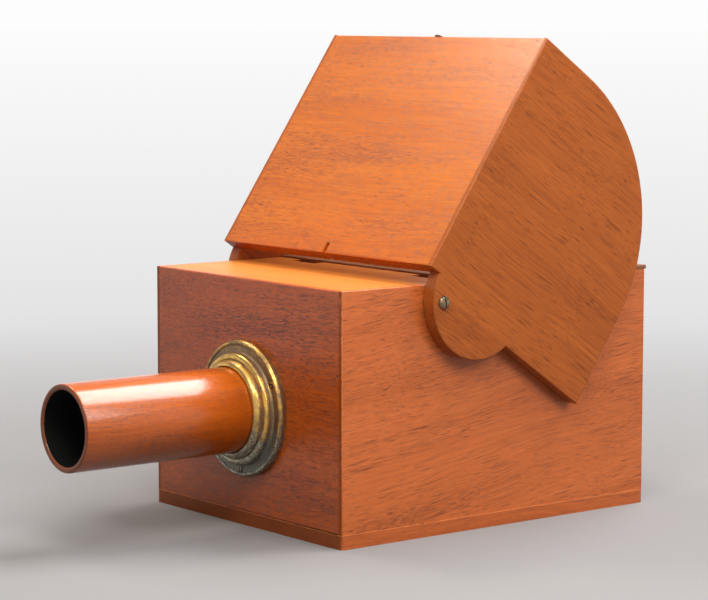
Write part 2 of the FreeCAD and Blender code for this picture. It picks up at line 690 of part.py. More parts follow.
def right_cheek():
    """A side of the hood: a round ear at the pivot and a large swept corner at the rear."""
    centre_y, centre_z = "(panel_front + lobe_back)", "(panel_rise - lobe_radius)"
    ear_top = f"({centre_z} + sqrt(lobe_radius^2 - lobe_back^2))"
    ear_foot = f"({centre_z} - sqrt(lobe_radius^2 - ({centre_y} - cheek_front)^2))"
    corners = [
        ("panel_front", PANEL_TOP),
        ("panel_front", ear_top),
        ("cheek_front", ear_foot),
        ("cheek_front", "-cheek_drop"),
        (f"{PANEL_END} - cheek_sweep", "-cheek_drop"),
        (PANEL_END, "-cheek_drop + cheek_sweep"),
        (PANEL_END, PANEL_TOP),
    ]
    arcs = {1: ("lobe_radius", "counterclockwise"), 4: ("cheek_sweep", "counterclockwise")}
    body = keep(new_body("hood_cheek_right"))
    sketch = outline(body, "cheek_outline", "YZ_Plane", corners, arcs)
    sketch.setExpression(".AttachmentOffset.Base.z", in_sheet(CHEEK_OUTER))
    pad = body.newObject("PartDesign::Pad", "cheek_pad")
    pad.Profile = sketch
    pad.Reversed = True
    bind(pad, Length="cheek_thickness")
    cut(body, "cheek_rebate", (f"{CHEEK_INNER} - {OVERSHOOT}", f"{CHEEK_OUTER} - cheek_lip"),
        (f"panel_front - {OVERSHOOT}", f"{PANEL_END} + {OVERSHOOT}"),
        ("panel_rise", f"{PANEL_TOP} + {OVERSHOOT}"))
    bore(body, "cheek_pivot_hole", "x", "pivot_shank + pivot_fit", f"cheek_thickness + 2 * {OVERSHOOT}",
         f"{CHEEK_INNER} - {OVERSHOOT}", "0", "0")
    outer, step = value(CHEEK_OUTER), value("panel_front")
    hole = value("pivot_shank + pivot_fit")

    def outer_edge(edge):
        if edge.Curve.TypeId == "Part::GeomCircle" and near(edge.Curve.Radius, hole):
            return False
        at_step = all(near(vertex.Y, step) for vertex in edge.Vertexes)
        return all(near(vertex.X, outer) for vertex in edge.Vertexes) and not at_step

    round_edges(body, "edge_round", outer_edge)
    swing_open(body)
    return body


def lift_stud():
    """The round-headed stud in the middle of the panel's rear edge, by which the hood is lifted."""
    body = keep(turned("lift_stud", [
        ("0", "-stud_length"), ("stud_shank", "-stud_length"), ("stud_shank", "stud_neck"),
        ("stud_head", "stud_neck"), ("0", "stud_neck + stud_dome"),
    ], arcs={3: (dome_radius("stud_head", "stud_dome"), "counterclockwise")}))
    swing_open(body)
    along, above = PANEL_END, f"({PANEL_TOP} + panel_rise) / 2"
    put(body, "0", f"{PIVOT_Y} + ({along}) * cos(hood_open) - ({above}) * sin(hood_open)",
        f"{PIVOT_Z} + ({along}) * sin(hood_open) + ({above}) * cos(hood_open)")


def right_pivot():
    """A round-headed screw through the cheek into the wall, and the washer between the two."""
    screw = keep(turned("pivot_screw_right", [
        ("-pivot_length", "0"), ("pivot_dome", "0"), ("0", "pivot_head"), ("0", "pivot_shank"),
        ("-pivot_length", "pivot_shank"),
    ], arcs={1: (dome_radius("pivot_head", "pivot_dome"), "counterclockwise")}, axis="H_Axis"))
    cut(screw, "pivot_slot", ("pivot_dome - slot_cut", f"pivot_dome + {OVERSHOOT}"),
        both("driver_slot / 2"), both(f"pivot_head + {OVERSHOOT}"))
    put(screw, PIVOT_FACE, PIVOT_Y, PIVOT_Z)
    hole = "pivot_shank + pivot_fit"
    thickness = "cheek_gap - pivot_clear"
    washer = keep(turned("pivot_washer_right", [
        ("0", hole), (thickness, hole), (thickness, "washer_radius"), ("0", "washer_radius"),
    ], axis="H_Axis"))
    put(washer, SIDE, PIVOT_Y, PIVOT_Z)
    return screw, washer


# Making every piece
base_board()
base_screws()
front_wall()
back_wall()
top_board()
lens_flange()
flange_screws()
tube_guide()
lens_tube()
lens_and_ring()
mirror()
screen()
hood_panel()
lift_stud()
pivot, washer = right_pivot()
for label, source in (
    ("left_wall", right_wall()),
    ("hood_cheek_left", right_cheek()),
    ("pivot_screw_left", pivot),
    ("pivot_washer_left", washer),
):
    mirrored(label, source)
doc.recompute()

# Every feature and every solid is checked before anything is written
for thing in doc.Objects:
    if "Invalid" in thing.State or "Error" in thing.State:
        raise RuntimeError("%s did not build: %s" % (thing.Label, thing.State))
for piece in pieces:
    if piece.Shape.isNull() or not piece.Shape.isValid() or not piece.Shape.Solids:
        raise RuntimeError("%s has no sound solid" % piece.Label)

os.makedirs("parts", exist_ok=True)
for piece in pieces:
    piece.Shape.exportStep("parts/%s.step" % piece.Label)
    extent = piece.Shape.BoundBox
    print("%-20s %d solid(s), %.1f x %.1f x %.1f mm, %.0f mm3" % (
        piece.Label, len(piece.Shape.Solids), extent.XLength, extent.YLength, extent.ZLength,
        piece.Shape.Volume))
print("%d pieces" % len(pieces))
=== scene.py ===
# %% [markdown]
# # A box camera obscura
# A mahogany box stands on its base board. A polished wooden tube with the lens slides in and out of
# a brass flange at the front, a mirror inside throws the picture up, and it appears on a sheet of
# ground glass under the folding hood. This script dresses the solid model of that object: it makes
# finished boards, turned brass and real-looking surfaces, and stands them under a soft studio light.
#
# Everything is in metres, in the solid model's own frame: X to the right of someone facing the
# front, Y from the front to the back, Z up from the table.

# %% Load the solid model
import bmesh
import bpy
import functools
import json
import math
from mathutils import Matrix, Vector


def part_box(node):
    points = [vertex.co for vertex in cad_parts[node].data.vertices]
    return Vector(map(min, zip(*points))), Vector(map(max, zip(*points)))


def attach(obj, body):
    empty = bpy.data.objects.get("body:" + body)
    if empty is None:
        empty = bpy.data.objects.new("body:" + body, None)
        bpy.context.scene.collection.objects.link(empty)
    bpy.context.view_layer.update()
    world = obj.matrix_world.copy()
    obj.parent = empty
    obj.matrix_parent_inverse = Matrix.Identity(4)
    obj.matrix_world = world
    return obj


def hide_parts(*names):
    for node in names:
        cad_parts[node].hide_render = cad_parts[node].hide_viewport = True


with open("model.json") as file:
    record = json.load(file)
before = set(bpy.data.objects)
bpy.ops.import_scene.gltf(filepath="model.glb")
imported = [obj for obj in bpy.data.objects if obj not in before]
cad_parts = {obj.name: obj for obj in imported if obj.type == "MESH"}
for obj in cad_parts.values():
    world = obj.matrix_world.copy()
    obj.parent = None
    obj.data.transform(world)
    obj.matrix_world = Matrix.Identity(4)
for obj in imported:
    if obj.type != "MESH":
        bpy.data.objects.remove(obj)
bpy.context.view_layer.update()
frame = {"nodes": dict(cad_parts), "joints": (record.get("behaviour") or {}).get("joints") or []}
MM = 0.001
BOX = {node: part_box(node) for node in frame["nodes"]}

# %% [markdown]
# ## Camera
# The camera was fitted to the straight edges of the box in the photograph, so its place is a set of
# measured numbers. It stands to the right of the front, a little above the table, with a long lens:
# the box's upright edges stay nearly parallel. The image is taken as 708 by 600 pixels.

# %% Camera
VIEW_AZIMUTH = math.radians(51.77)
VIEW_ELEVATION = math.radians(6.44)
VIEW_ROLL = math.radians(0.08)
VIEW_TARGET = Vector((0.0, 0.0, 0.0768))
VIEW_DISTANCE = 1.6538
VIEW_SIDEWAYS = -0.0300
VIEW_RAISED = 0.0544
FOCAL_PIXELS = 2564.2
IMAGE_WIDTH = 708
SENSOR_WIDTH = 36.0         # mm


def put(name, data):
    """A new object in the scene."""
    placed = bpy.data.objects.new(name, data)
    bpy.context.scene.collection.objects.link(placed)
    return placed


level = math.cos(VIEW_ELEVATION)
backward = Vector((
    math.sin(VIEW_AZIMUTH) * level,
    -math.cos(VIEW_AZIMUTH) * level,
    math.sin(VIEW_ELEVATION),
))
rightward = Vector((math.cos(VIEW_AZIMUTH), math.sin(VIEW_AZIMUTH), 0.0))
upward = backward.cross(rightward)
lens = bpy.data.cameras.new("photographer")
lens.sensor_width = SENSOR_WIDTH
lens.lens = FOCAL_PIXELS * SENSOR_WIDTH / IMAGE_WIDTH
camera = put("photographer", lens)
eye = VIEW_TARGET + backward * VIEW_DISTANCE + rightward * VIEW_SIDEWAYS + upward * VIEW_RAISED
facing = Matrix((rightward, upward, backward)).transposed().to_4x4()
camera.matrix_world = Matrix.Translation(eye) @ facing @ Matrix.Rotation(VIEW_ROLL, 4, "Z")
bpy.context.scene.camera = camera
print("camera: lens %.1f mm, eye at %s" % (lens.lens, [round(c, 3) for c in eye]))

# %% [markdown]
# ## Colours and nodes
# Colours are written as the hex values that a paint chart would give. Shaders work with light, so
# one function turns hex into linear numbers. A second one adds a shader node, sets its properties,
# fills or links its inputs and hands back an output, and every material below is built with it.

# %% Helpers for colours and nodes
def linear(hex_colour):
    """An sRGB hex colour as linear red, green, blue and full alpha."""
    channels = [int(hex_colour[n:n + 2], 16) / 255 for n in (1, 3, 5)]
    return [c / 12.92 if c <= 0.04045 else ((c + 0.055) / 1.055) ** 2.4 for c in channels] + [1.0]


def add_node(tree, kind, *inputs, output=0, **settings):
    """Adds one node and returns one of its outputs, or all of them if output is None. inputs are values
    or links for its sockets in order, or one dictionary by socket; settings are its properties."""
    added = tree.nodes.new("ShaderNode" + kind)
    for name, setting in settings.items():
        setattr(added, name, setting)
    by_socket = inputs[0] if inputs and isinstance(inputs[0], dict) else dict(enumerate(inputs))
    for socket, given in by_socket.items():
        if isinstance(given, bpy.types.NodeSocket):
            tree.links.new(given, added.inputs[socket])
        else:
            added.inputs[socket].default_value = given
    return added.outputs if output is None else added.outputs[output]


def nodes_of(owner):
    """Empties the node tree of a material or a world. Returns add_node for that tree."""
    owner.use_nodes = True
    owner.node_tree.nodes.clear()
    return functools.partial(add_node, owner.node_tree)


# The Mix node has one set of sockets for each kind of value; these are the ones for colour.
MIX_A, MIX_B = 6, 7
COLOURS = {"output": 2, "data_type": "RGBA"}
SMOOTH = {"interpolation_type": "SMOOTHSTEP"}
print("helpers ready")

# %% [markdown]
# ## Studio
# A pale floor runs out to a pale horizon, as a sheet of background paper does. Close to the object
# it is an ordinary matt surface, so that it takes the object's shadow. Further out it turns into a
# glow that only the camera and reflections see, which keeps the background pale without throwing
# more light on the object. Its tone rises from a light grey in the foreground to nearly white.

# %% Floor and background
FLOOR_RADIUS = 40.0
FLOOR_STEPS = 96
FLOOR_MATT = "#939191"    # the lamps lift it to the foreground tone
FLOOR_NEAR = "#C6C4C4"
FLOOR_FAR = "#FDFDFD"
FLOOR_BOUNCE = "#606060"  # what the floor sends back to the object, which stood on something dark
PALER_OVER = 1.3          # metres over which the tone has gone half of the way
MATT_WITHIN = 0.3         # metres within which the floor is wholly matt
GLOW_BEYOND = 1.4
TONE_CENTRE = (-0.236, 0.186, 0.0)    # moves the darkest tone a little towards the camera


def to_object(bm, name, materials):
    """Turns a finished bmesh into an object with its materials."""
    mesh = bpy.data.meshes.new(name)
    bm.to_mesh(mesh)
    bm.free()
    for material in materials:
        mesh.materials.append(material)
    return put(name, mesh)


def seen_directly(node):
    """1 for the camera, for reflections and for a look through glass, 0 for light that bounces."""
    ray = node("LightPath", output=None)
    seen = node("Math", ray["Is Camera Ray"], ray["Is Glossy Ray"], operation="MAXIMUM")
    return node("Math", seen, ray["Is Transmission Ray"], operation="MAXIMUM")


# Plain paper: a quiet tone that gives the eye nothing but the shadow.
floor_paper = bpy.data.materials.new("background paper, matt near and glowing far")
node = nodes_of(floor_paper)
centred = node("Mapping", {"Vector": node("TexCoord", output="Object"), "Location": TONE_CENTRE})
distance = node("VectorMath", centred, output="Value", operation="LENGTH")
spread = node("Math", distance, PALER_OVER, operation="ADD")
share = node("Math", distance, spread, operation="DIVIDE")
tone = node("Mix", {0: share, MIX_A: linear(FLOOR_NEAR), MIX_B: linear(FLOOR_FAR)}, **COLOURS)
seen = seen_directly(node)
far = node("MapRange", distance, MATT_WITHIN, GLOW_BEYOND, **SMOOTH)
glowing = node("Math", far, seen, operation="MULTIPLY")
paper = node("Mix", {0: seen, MIX_A: linear(FLOOR_BOUNCE), MIX_B: linear(FLOOR_MATT)}, **COLOURS)
matt = node("BsdfDiffuse", paper)
glow = node("Emission", tone, 1.0)
node("OutputMaterial", node("MixShader", glowing, matt, glow), output=None)

bm = bmesh.new()
bmesh.ops.create_circle(bm, cap_ends=True, segments=FLOOR_STEPS, radius=FLOOR_RADIUS)
floor = to_object(bm, "floor", [floor_paper])
print("floor: radius %.0f m" % FLOOR_RADIUS)

# %% [markdown]
# The light in the photograph falls mostly from above and behind: the top board is the brightest
# face, the sloping hood panel comes next, the right side is about half as bright and the front is in
# shade. A wide bank above and behind does most of that and puts the long white gleam on the tube. A
# lamp on the right lifts that side, two small ones lift the hood, and one overhead fills.
#
# Varnish mirrors whatever is above it. The pale background therefore gives way to a dimmer ceiling,
# or every board would wear a white haze.

# %% Lamps
def soft_lamp(name, place, aim, width, height, watts, hex_colour):
    """A rectangular soft box that faces a point."""
    lamp = bpy.data.lights.new(name, "AREA")
    lamp.shape = "RECTANGLE"
    lamp.size = width
    lamp.size_y = height
    lamp.energy = watts
    lamp.color = linear(hex_colour)[:3]
    holder = put(name, lamp)
    holder.location = place
    holder.rotation_euler = (Vector(aim) - Vector(place)).to_track_quat("-Z", "Y").to_euler()


soft_lamp("overhead", (0.1, -0.35, 1.9), (0.0, -0.05, 0.1), 1.4, 1.4, 5.2, "#FFFDF8")
soft_lamp("back bank", (0.14, 0.74, 1.67), (0.0, -0.2, 0.1), 1.35, 0.75, 36.0, "#FFFFFF")
soft_lamp("near front", (0.5, -0.5, 0.85), (0.0, -0.05, 0.18), 0.4, 0.4, 4.5, "#FFFBF5")
soft_lamp("panel sheen", (-0.48, -0.17, 0.93), (0.05, 0.0, 0.27), 0.25, 0.25, 3.2, "#FFEEDC")
soft_lamp("right side", (1.7, 0.25, 1.35), (0.0, 0.0, 0.1), 1.0, 1.0, 20.0, "#FFFBF5")

SKY_SEEN = "#FDFDFD"
SKY_LIGHT = "#F4F6FA"
SKY_STRENGTH = 0.32
WALL_TOP, CEILING_FROM = 0.2, 0.7   # upward part of the direction where the wall ends and the ceiling starts
CEILING = 0.35

studio = bpy.data.worlds.new("studio")
bpy.context.scene.world = studio
node = nodes_of(studio)
height = node("SeparateXYZ", node("TexCoord", output="Generated"), output="Z")
dimmer = node("MapRange", height, WALL_TOP, CEILING_FROM, 1.0, CEILING)
sky_seen = node("Background", linear(SKY_SEEN), dimmer)
sky_light = node("Background", linear(SKY_LIGHT), SKY_STRENGTH)
node("OutputWorld", node("MixShader", seen_directly(node), sky_light, sky_seen), output=None)
bpy.context.scene.view_settings.view_transform = "Standard"

# %% [markdown]
# ## Mahogany
# Mahogany is an orange-brown wood that is sold under clear varnish, which gives it a soft gloss. Its
# grain has broad soft ribbons, fine long streaks, and short dark dashes: the open pores, cut along
# their length. All of these are drawn in space and not on the surface, as in a real plank, so that a
# board's end shows cut pores where its side shows dashes.
#
# All the patterns are one noise, stretched along the grain by a different amount each time. Pores are
# about 0.2 mm wide, too fine for the render, so they are drawn 0.3 mm wide.

# %% Varnished mahogany
RIBBON = (300 * MM, 24 * MM)      # length along the grain and width across it
STREAK = (95 * MM, 1.3 * MM)
FLECK_BAND = (140 * MM, 18 * MM)  # short pores crowd together in bands
FLECK_WIDTH = 0.3 * MM
DASH_WIDTH = 0.27 * MM
BEND_SIZE = 120 * MM              # how far apart the gentle bends in the grain are
BEND_REACH = 14 * MM
CURL_SIZE = 9 * MM                # and the small ones, that make the short pores wander
RIBBON_SHARE, BAND_SHARE = 0.6, 0.7     # weight of the broad noise that is added to the fine one
FIGURE = (0.55, 1.05)                   # sums of noise between which dark wood turns light
FLECK_FROM, FLECK_TO = 0.96, 1.1        # and between which a short or a long pore opens
DASH_FROM, DASH_TO = 0.62, 0.74
PORE_DEPTH = 0.05 * MM
PORE_ROUGH = 0.15                 # varnish sinks into a pore and is duller there
PORE_BROWN = "#5A260A"
WORN_WOOD = "#D4863E"
WORN_SIZE = 9 * MM
WORN = (0.5, 0.8, 0.0, 0.3)       # noise from and to, wear from and to: edges are rubbed in places
VARNISH_IOR = 1.5
POLISH_ROUGH = 0.14


def mahogany(name, light, dark, turn, start, fleck=9, dash=22, flecks=0.3, dashes=0.5, curl=0.6,
             crowd=0.0, pore=PORE_BROWN, gloss=0.27, shine=0.5, polish=0.0):
    """Varnished mahogany. turn brings the board's grain onto X, start is its place in the plank,
    fleck and dash are the lengths of short and long pores in mm, flecks and dashes how dark they are,
    curl is how far in mm the short ones wander and crowd how many more of them there are. gloss is
    how rough the varnish is, shine how much it mirrors, polish the weight of a clear coat over it."""
    material = bpy.data.materials.new(name)
    node = nodes_of(material)
    place = node("TexCoord", output="Object")
    angles = [math.radians(angle) for angle in turn]
    plank = node("Mapping", {"Vector": place, "Rotation": angles, "Location": start})

    def bent(vector, size, reach):
        """The place in the plank, moved across the grain by a slow noise."""
        bend = node("TexNoise", {"Vector": vector, "Scale": 1 / size, "Detail": 1.0}, output="Color")
        return node("VectorMath", bend, (0.0, reach, reach), vector, operation="MULTIPLY_ADD")

    def grain(vector, length, width, detail):
        """A noise that is stretched along the grain to the given length and width."""
        drawn = node("Mapping", {"Vector": vector, "Scale": (1 / length, 1 / width, 1 / width)})
        return node("TexNoise", {"Vector": drawn, "Scale": 1.0, "Detail": detail})

    growth = bent(plank, BEND_SIZE, BEND_REACH)
    curled = bent(growth, CURL_SIZE, curl * MM)
    ribbon = grain(growth, *RIBBON, 1.0)
    streak = grain(growth, *STREAK, 2.0)
    figure = node("Math", ribbon, RIBBON_SHARE, streak, operation="MULTIPLY_ADD")
    figure = node("MapRange", figure, *FIGURE)
    wood = node("Mix", {0: figure, MIX_A: linear(dark), MIX_B: linear(light)}, **COLOURS)
    band = grain(growth, *FLECK_BAND, 1.0)
    short = grain(curled, fleck * MM, FLECK_WIDTH, 0.0)
    short = node("Math", band, BAND_SHARE, short, operation="MULTIPLY_ADD")
    short = node("MapRange", short, FLECK_FROM - crowd, FLECK_TO - crowd, **SMOOTH)
    long = grain(growth, dash * MM, DASH_WIDTH, 0.0)
    long = node("MapRange", long, DASH_FROM - crowd / 2, DASH_TO - crowd / 2, **SMOOTH)
    pores = node("Math", short, flecks, operation="MULTIPLY")
    pores = node("Math", long, dashes, pores, operation="MULTIPLY_ADD", use_clamp=True)
    wood = node("Mix", {0: pores, MIX_A: wood, MIX_B: linear(pore)}, **COLOURS)
    wear = node("Attribute", output="Fac", attribute_name="wear")
    rubbed = node("TexNoise", {"Vector": plank, "Scale": 1 / WORN_SIZE, "Detail": 3.0})
    worn = node("Math", wear, node("MapRange", rubbed, *WORN), operation="MULTIPLY")
    wood = node("Mix", {0: worn, MIX_A: wood, MIX_B: linear(WORN_WOOD)}, **COLOURS)
    rough = node("MapRange", pores, 0.0, 1.0, gloss, gloss + PORE_ROUGH)
    dent = node("Math", 1.0, pores, operation="SUBTRACT")
    bump = node("Bump", {"Height": dent, "Strength": 0.5, "Distance": PORE_DEPTH})
    surface = node("BsdfPrincipled", {
        "Base Color": wood, "Roughness": rough, "IOR": VARNISH_IOR, "Normal": bump, "Coat Weight": polish,
        "Specular IOR Level": shine, "Coat Roughness": POLISH_ROUGH, "Coat IOR": VARNISH_IOR})
    node("OutputMaterial", surface, output=None)
    return material


print("mahogany ready")

# %% [markdown]
# Each board gets its own tone and its own place in the plank, because no two boards are cut from the
# same spot. The hood's boards are drawn swung open, so their grain is turned by the same angle.

# %% The wood of each board
hinge = frame["joints"][0]
HOOD_OPEN = -hinge["range_deg"][0]
PIVOT = Vector(hinge["pos_m"])
ALONG_X, ALONG_Y, UP_HOOD = (0, 0, 0), (0, 0, -90), (-HOOD_OPEN, 0, 0)
WOOD = {
    # calm and even, so that the base reads as one slab under the walls
    "base": mahogany("varnished mahogany, base board", "#D06A30", "#B85824", ALONG_Y, (0.1, 0.7, 0.2)),
    # end grain drinks the varnish: darker and duller
    "base end": mahogany("varnished mahogany, base board's end grain", "#AC5216", "#8E400E", ALONG_Y,
                         (0.1, 0.7, 0.2), shine=0.3),
    # a thin pale line painted on the ledge: painted light that lifts the shade at the foot of the walls
    "base ledge painted light": mahogany("mahogany painted pale, base board's ledge", "#D4925C", "#C08048", ALONG_Y,
                           (0.1, 0.7, 0.2), gloss=0.4),
    # close, short pores: busy and dark red in the shade
    "front": mahogany("varnished mahogany, front", "#D86416", "#B84C0C", (0, 0, 2), (0.9, 0.1, 0.5),
                      fleck=5, dash=11, flecks=0.8, dashes=0.8, crowd=0.03, shine=0.6),
    # longer strokes that slope gently
    "side": mahogany("varnished mahogany, sides", "#DC7439", "#C8652D", (-7, 0, -90), (0.3, 0.4, 0.8),
                     fleck=9, dash=26, flecks=0.42, dashes=0.66, crowd=-0.015, shine=0.45),
    # the ends of the boards: duller, darker strips beside the front
    "board end": mahogany("varnished mahogany, end grain", "#B0540E", "#96440A", (0, 0, 2), (0.9, 0.1, 0.5),
                          fleck=3, dash=5, flecks=0.4, dashes=0.4, shine=0.25),
    # plain and even, as a board can be that faces a wall
    "back": mahogany("varnished mahogany, back", "#C8612A", "#B1501E", ALONG_X, (0.2, 0.9, 0.3)),
    # the palest board, nearly without pores
    "top": mahogany("varnished mahogany, top board", "#E48A34", "#D47726", ALONG_X, (0.6, 0.2, 0.1),
                    flecks=0.2, dashes=0.2, gloss=0.4),
    # bright orange with curly flecks
    "panel": mahogany("varnished mahogany, hood panel", "#E27A12", "#C96208", UP_HOOD, (0.4, 0.8, 0.6),
                      fleck=6, dash=16, flecks=0.7, dashes=0.6, curl=1.0, crowd=0.05, pore="#8A3A10"),
    # the panel's lower end faces down: painted shade, darker and with less shine than the panel
    "panel end in painted shade": mahogany("varnished mahogany, hood panel's lower end, painted shade", "#AC500C", "#924206", UP_HOOD,
                          (0.4, 0.8, 0.6), fleck=8, dash=20, shine=0.2),
    # browner, with long thin strokes and little shine
    "cheek": mahogany("varnished mahogany, hood cheeks", "#BE6428", "#A65420", (-HOOD_OPEN, 90, 0),
                      (0.7, 0.5, 0.2), fleck=14, dash=30, flecks=0.5, dashes=0.95, curl=0.2, crowd=-0.06,
                      shine=0.22),
    # another wood that was only oiled: dull and a little grey
    "frame": mahogany("oiled pale hardwood, screen frame", "#9C6A4A", "#84563A", ALONG_X, (0.8, 0.3, 0.9),
                      flecks=0.2, dashes=0.3, pore="#6A4630", gloss=0.45, shine=0.35),
    # the one polished piece: tiny flecks under a wet-looking gleam
    "tube": mahogany("polished mahogany, lens tube", "#CC620C", "#B45008", ALONG_Y, (0.5, 0.6, 0.4),
                     fleck=2, dash=5, flecks=0.6, dashes=0.6, gloss=0.2, shine=0.45, polish=0.45),
    # a darker ring in which the gleam ends
    "rim": mahogany("end grain of the tube's mouth", "#9A4F22", "#7E3C17", ALONG_Y, (0.5, 0.6, 0.4),
                    gloss=0.35),
    # no varnish in the cut: pale and dry
    "cut": mahogany("bare mahogany in the saw cut", "#B07A30", "#94601F", UP_HOOD, (0.1, 0.1, 0.9),
                    gloss=0.6),
}
print("mahogany:", len(WOOD), "boards, hood open", HOOD_OPEN, "degrees")

# %% [markdown]
# ## Brass
# Brass that has not been polished for years keeps its gold only where it stands proud and gets
# rubbed. The hollows go brown, and low down some of it turns a dull grey-green, which is partly patina
# and partly a painted reflection of the grey floor under it. The turner's fine scratches run round the
# flange, so their noise is drawn in radius and angle about the axis.

# %% Aged brass
tube_low, tube_high = BOX["lens_tube"]
AXIS_Z = (tube_low.z + tube_high.z) / 2
SCRATCH_GAP = 0.7 * MM      # scratches are finer on the real flange; these are wide enough to show
SCRATCH_RUN = 2.5           # noise cells to each radian round the axis
MOTTLE_SIZE, SPECK_SIZE, CRUST_SIZE = 5 * MM, 2 * MM, 1.5 * MM
HOLLOW_SHARE, SCRATCH_SHARE = 0.26, 0.8     # what a hollow and a scratch add to the tarnish
TARNISH_OVER = 0.36                         # rise in that sum over which gold turns brown
# the grey-green grows towards the bottom: partly patina, partly a painted reflection of the floor
LOW_DOWN_PATINA_AND_REFLECTION = (6 * MM, -22 * MM, 0.0, 0.45)    # heights about the axis, and what they add to the green
GREEN = (0.66, 0.9, 0.0, 0.9)               # that sum from and to, green from and to
CRUST = "#74746C"
CRUST_IN_HOLLOWS = -0.16
CRUST_RANGE = (0.4, 0.66)
BRIGHT_ROUGH, DULL_ROUGH, GREEN_ROUGH = 0.26, 0.5, 0.15
BRASS_RELIEF = 0.08 * MM


def aged_brass(name, gold, patina, grey, tarnish_from):
    """Old brass: gold on the proud edges, brown in the hollows, dull grey-green patches low down.
    The grey-green is partly patina and partly a painted reflection of the grey floor.
    """
    material = bpy.data.materials.new(name)
    node = nodes_of(material)
    place = node("TexCoord", output="Object")
    about_axis = node("Mapping", {"Vector": place, "Location": (0.0, 0.0, -AXIS_Z)})
    part = node("SeparateXYZ", about_axis, output=None)
    across = node("CombineXYZ", part["X"], 0.0, part["Z"])
    radius = node("VectorMath", across, output="Value", operation="LENGTH")
    angle = node("Math", part["Z"], part["X"], operation="ARCTAN2")
    fine = node("Math", radius, 1 / SCRATCH_GAP, operation="MULTIPLY")
    along = node("Math", angle, SCRATCH_RUN, operation="MULTIPLY")
    polar = node("CombineXYZ", fine, along, part["Y"])
    scratch = node("TexNoise", {"Vector": polar, "Scale": 1.0, "Detail": 2.0})
    hollow = node("Attribute", output="Fac", attribute_name="hollow")
    mottle = node("TexNoise", {"Vector": place, "Scale": 1 / MOTTLE_SIZE, "Detail": 5.0, "Roughness": 0.65})
    speck = node("TexNoise", {"Vector": place, "Scale": 1 / SPECK_SIZE, "Detail": 3.0})
    dull = node("Math", hollow, HOLLOW_SHARE, mottle, operation="MULTIPLY_ADD")
    dull = node("Math", scratch, SCRATCH_SHARE, dull, operation="MULTIPLY_ADD")
    dull = node("MapRange", dull, tarnish_from, tarnish_from + TARNISH_OVER, **SMOOTH)
    metal = node("Mix", {0: dull, MIX_A: linear(gold), MIX_B: linear(patina)}, **COLOURS)
    # grey-green low down: partly patina and partly a painted reflection of the grey floor
    green = node("Math", node("MapRange", part["Z"], *LOW_DOWN_PATINA_AND_REFLECTION), speck, operation="ADD")
    green = node("MapRange", green, *GREEN, **SMOOTH)
    crust = node("TexNoise", {"Vector": place, "Scale": 1 / CRUST_SIZE, "Detail": 2.0})
    crust = node("Math", hollow, CRUST_IN_HOLLOWS, crust, operation="MULTIPLY_ADD")
    crust = node("MapRange", crust, *CRUST_RANGE)
    crust = node("Mix", {0: crust, MIX_A: linear(CRUST), MIX_B: linear(grey)}, **COLOURS)
    metal = node("Mix", {0: green, MIX_A: metal, MIX_B: crust}, **COLOURS)
    rough = node("MapRange", dull, 0.0, 1.0, BRIGHT_ROUGH, DULL_ROUGH)
    rough = node("Math", green, GREEN_ROUGH, rough, operation="MULTIPLY_ADD")
    relief = node("Math", mottle, scratch, operation="ADD")
    bump = node("Bump", {"Height": relief, "Strength": 0.35, "Distance": BRASS_RELIEF})
    surface = node("BsdfPrincipled", {
        "Base Color": metal, "Metallic": 1.0, "Roughness": rough, "Normal": bump})
    node("OutputMaterial", surface, output=None)
    return material


# Gold crowns against brown and grey: the flange catches the eye first.
BRASS = aged_brass("aged brass", "#DDB05A", "#886F58", "#C6CBBA", 0.8)
# Greyer: small quiet points on the wood.
SCREW_BRASS = aged_brass("aged brass, screws", "#9A8468", "#4E4234", "#6E6252", 0.8)
# Nearly lost in the flange.
DARK_BRASS = aged_brass("darkened brass, flange screws", "#A88A58", "#6A563E", "#7A7460", 0.84)
print("brass ready")

# %% [markdown]
# ## The other finishes
# Everything that light must not reflect from is painted with lamp black. The rest of the inside is
# glass, felt and a silvered mirror. None of them has a grain, so one function serves them all: two
# tones in patches, a roughness that follows the patches, and a slight unevenness.

# %% Black, steel, glass and felt
PATCHES = (0.3, 0.7)        # noise between which one tone turns into the other
ROUGH_SPREAD = 0.08


def plain_finish(name, light, dark, patch, rough, bump_depth, **extra):
    """A finish that only mottles between two tones in patches of a given size."""
    material = bpy.data.materials.new(name)
    node = nodes_of(material)
    place = node("TexCoord", output="Object")
    mottle = node("TexNoise", {"Vector": place, "Scale": 1 / patch, "Detail": 4.0})
    share = node("MapRange", mottle, *PATCHES)
    colour = node("Mix", {0: share, MIX_A: linear(dark), MIX_B: linear(light)}, **COLOURS)
    uneven = node("MapRange", mottle, 0.0, 1.0, rough - ROUGH_SPREAD, rough + ROUGH_SPREAD)
    bump = node("Bump", {"Height": mottle, "Strength": 0.5, "Distance": bump_depth})
    surface = node("BsdfPrincipled", {"Base Color": colour, "Roughness": uneven, "Normal": bump, **extra})
    node("OutputMaterial", surface, output=None)
    return material


# Gives nothing back, so that the box and the tube look deep.
LAMP_BLACK = plain_finish("lamp black on wood", "#0C0C0B", "#060606", 6 * MM, 0.75, 0.05 * MM,
                          **{"Specular IOR Level": 0.2})
# A dull grey gleam under the box.
SCREW_STEEL = plain_finish("oiled steel, base screws", "#8C8A86", "#5E5B57", 2 * MM, 0.4, 0.04 * MM,
                           Metallic=1.0)
# A dark stroke that shows which way the slot lies.
SLOT_DARK = plain_finish("dark colour in a screw slot", "#2A211A", "#17120E", 1 * MM, 0.85, 0.05 * MM)
# Soft and black, without any gleam.
FELT = plain_finish("black felt", "#242222", "#161515", 0.8 * MM, 0.95, 0.2 * MM)
# Bright and cool; it shows the dark box around it.
SILVER = plain_finish("silvered mirror", "#DDE0DF", "#CFD3D3", 30 * MM, 0.1, 0.0, Metallic=1.0)
# Clear, with a breath of green.
LENS_GLASS = plain_finish("lens glass", "#F4FAF6", "#EEF6F2", 20 * MM, 0.1, 0.0,
                          **{"Transmission Weight": 1.0, "IOR": 1.52})
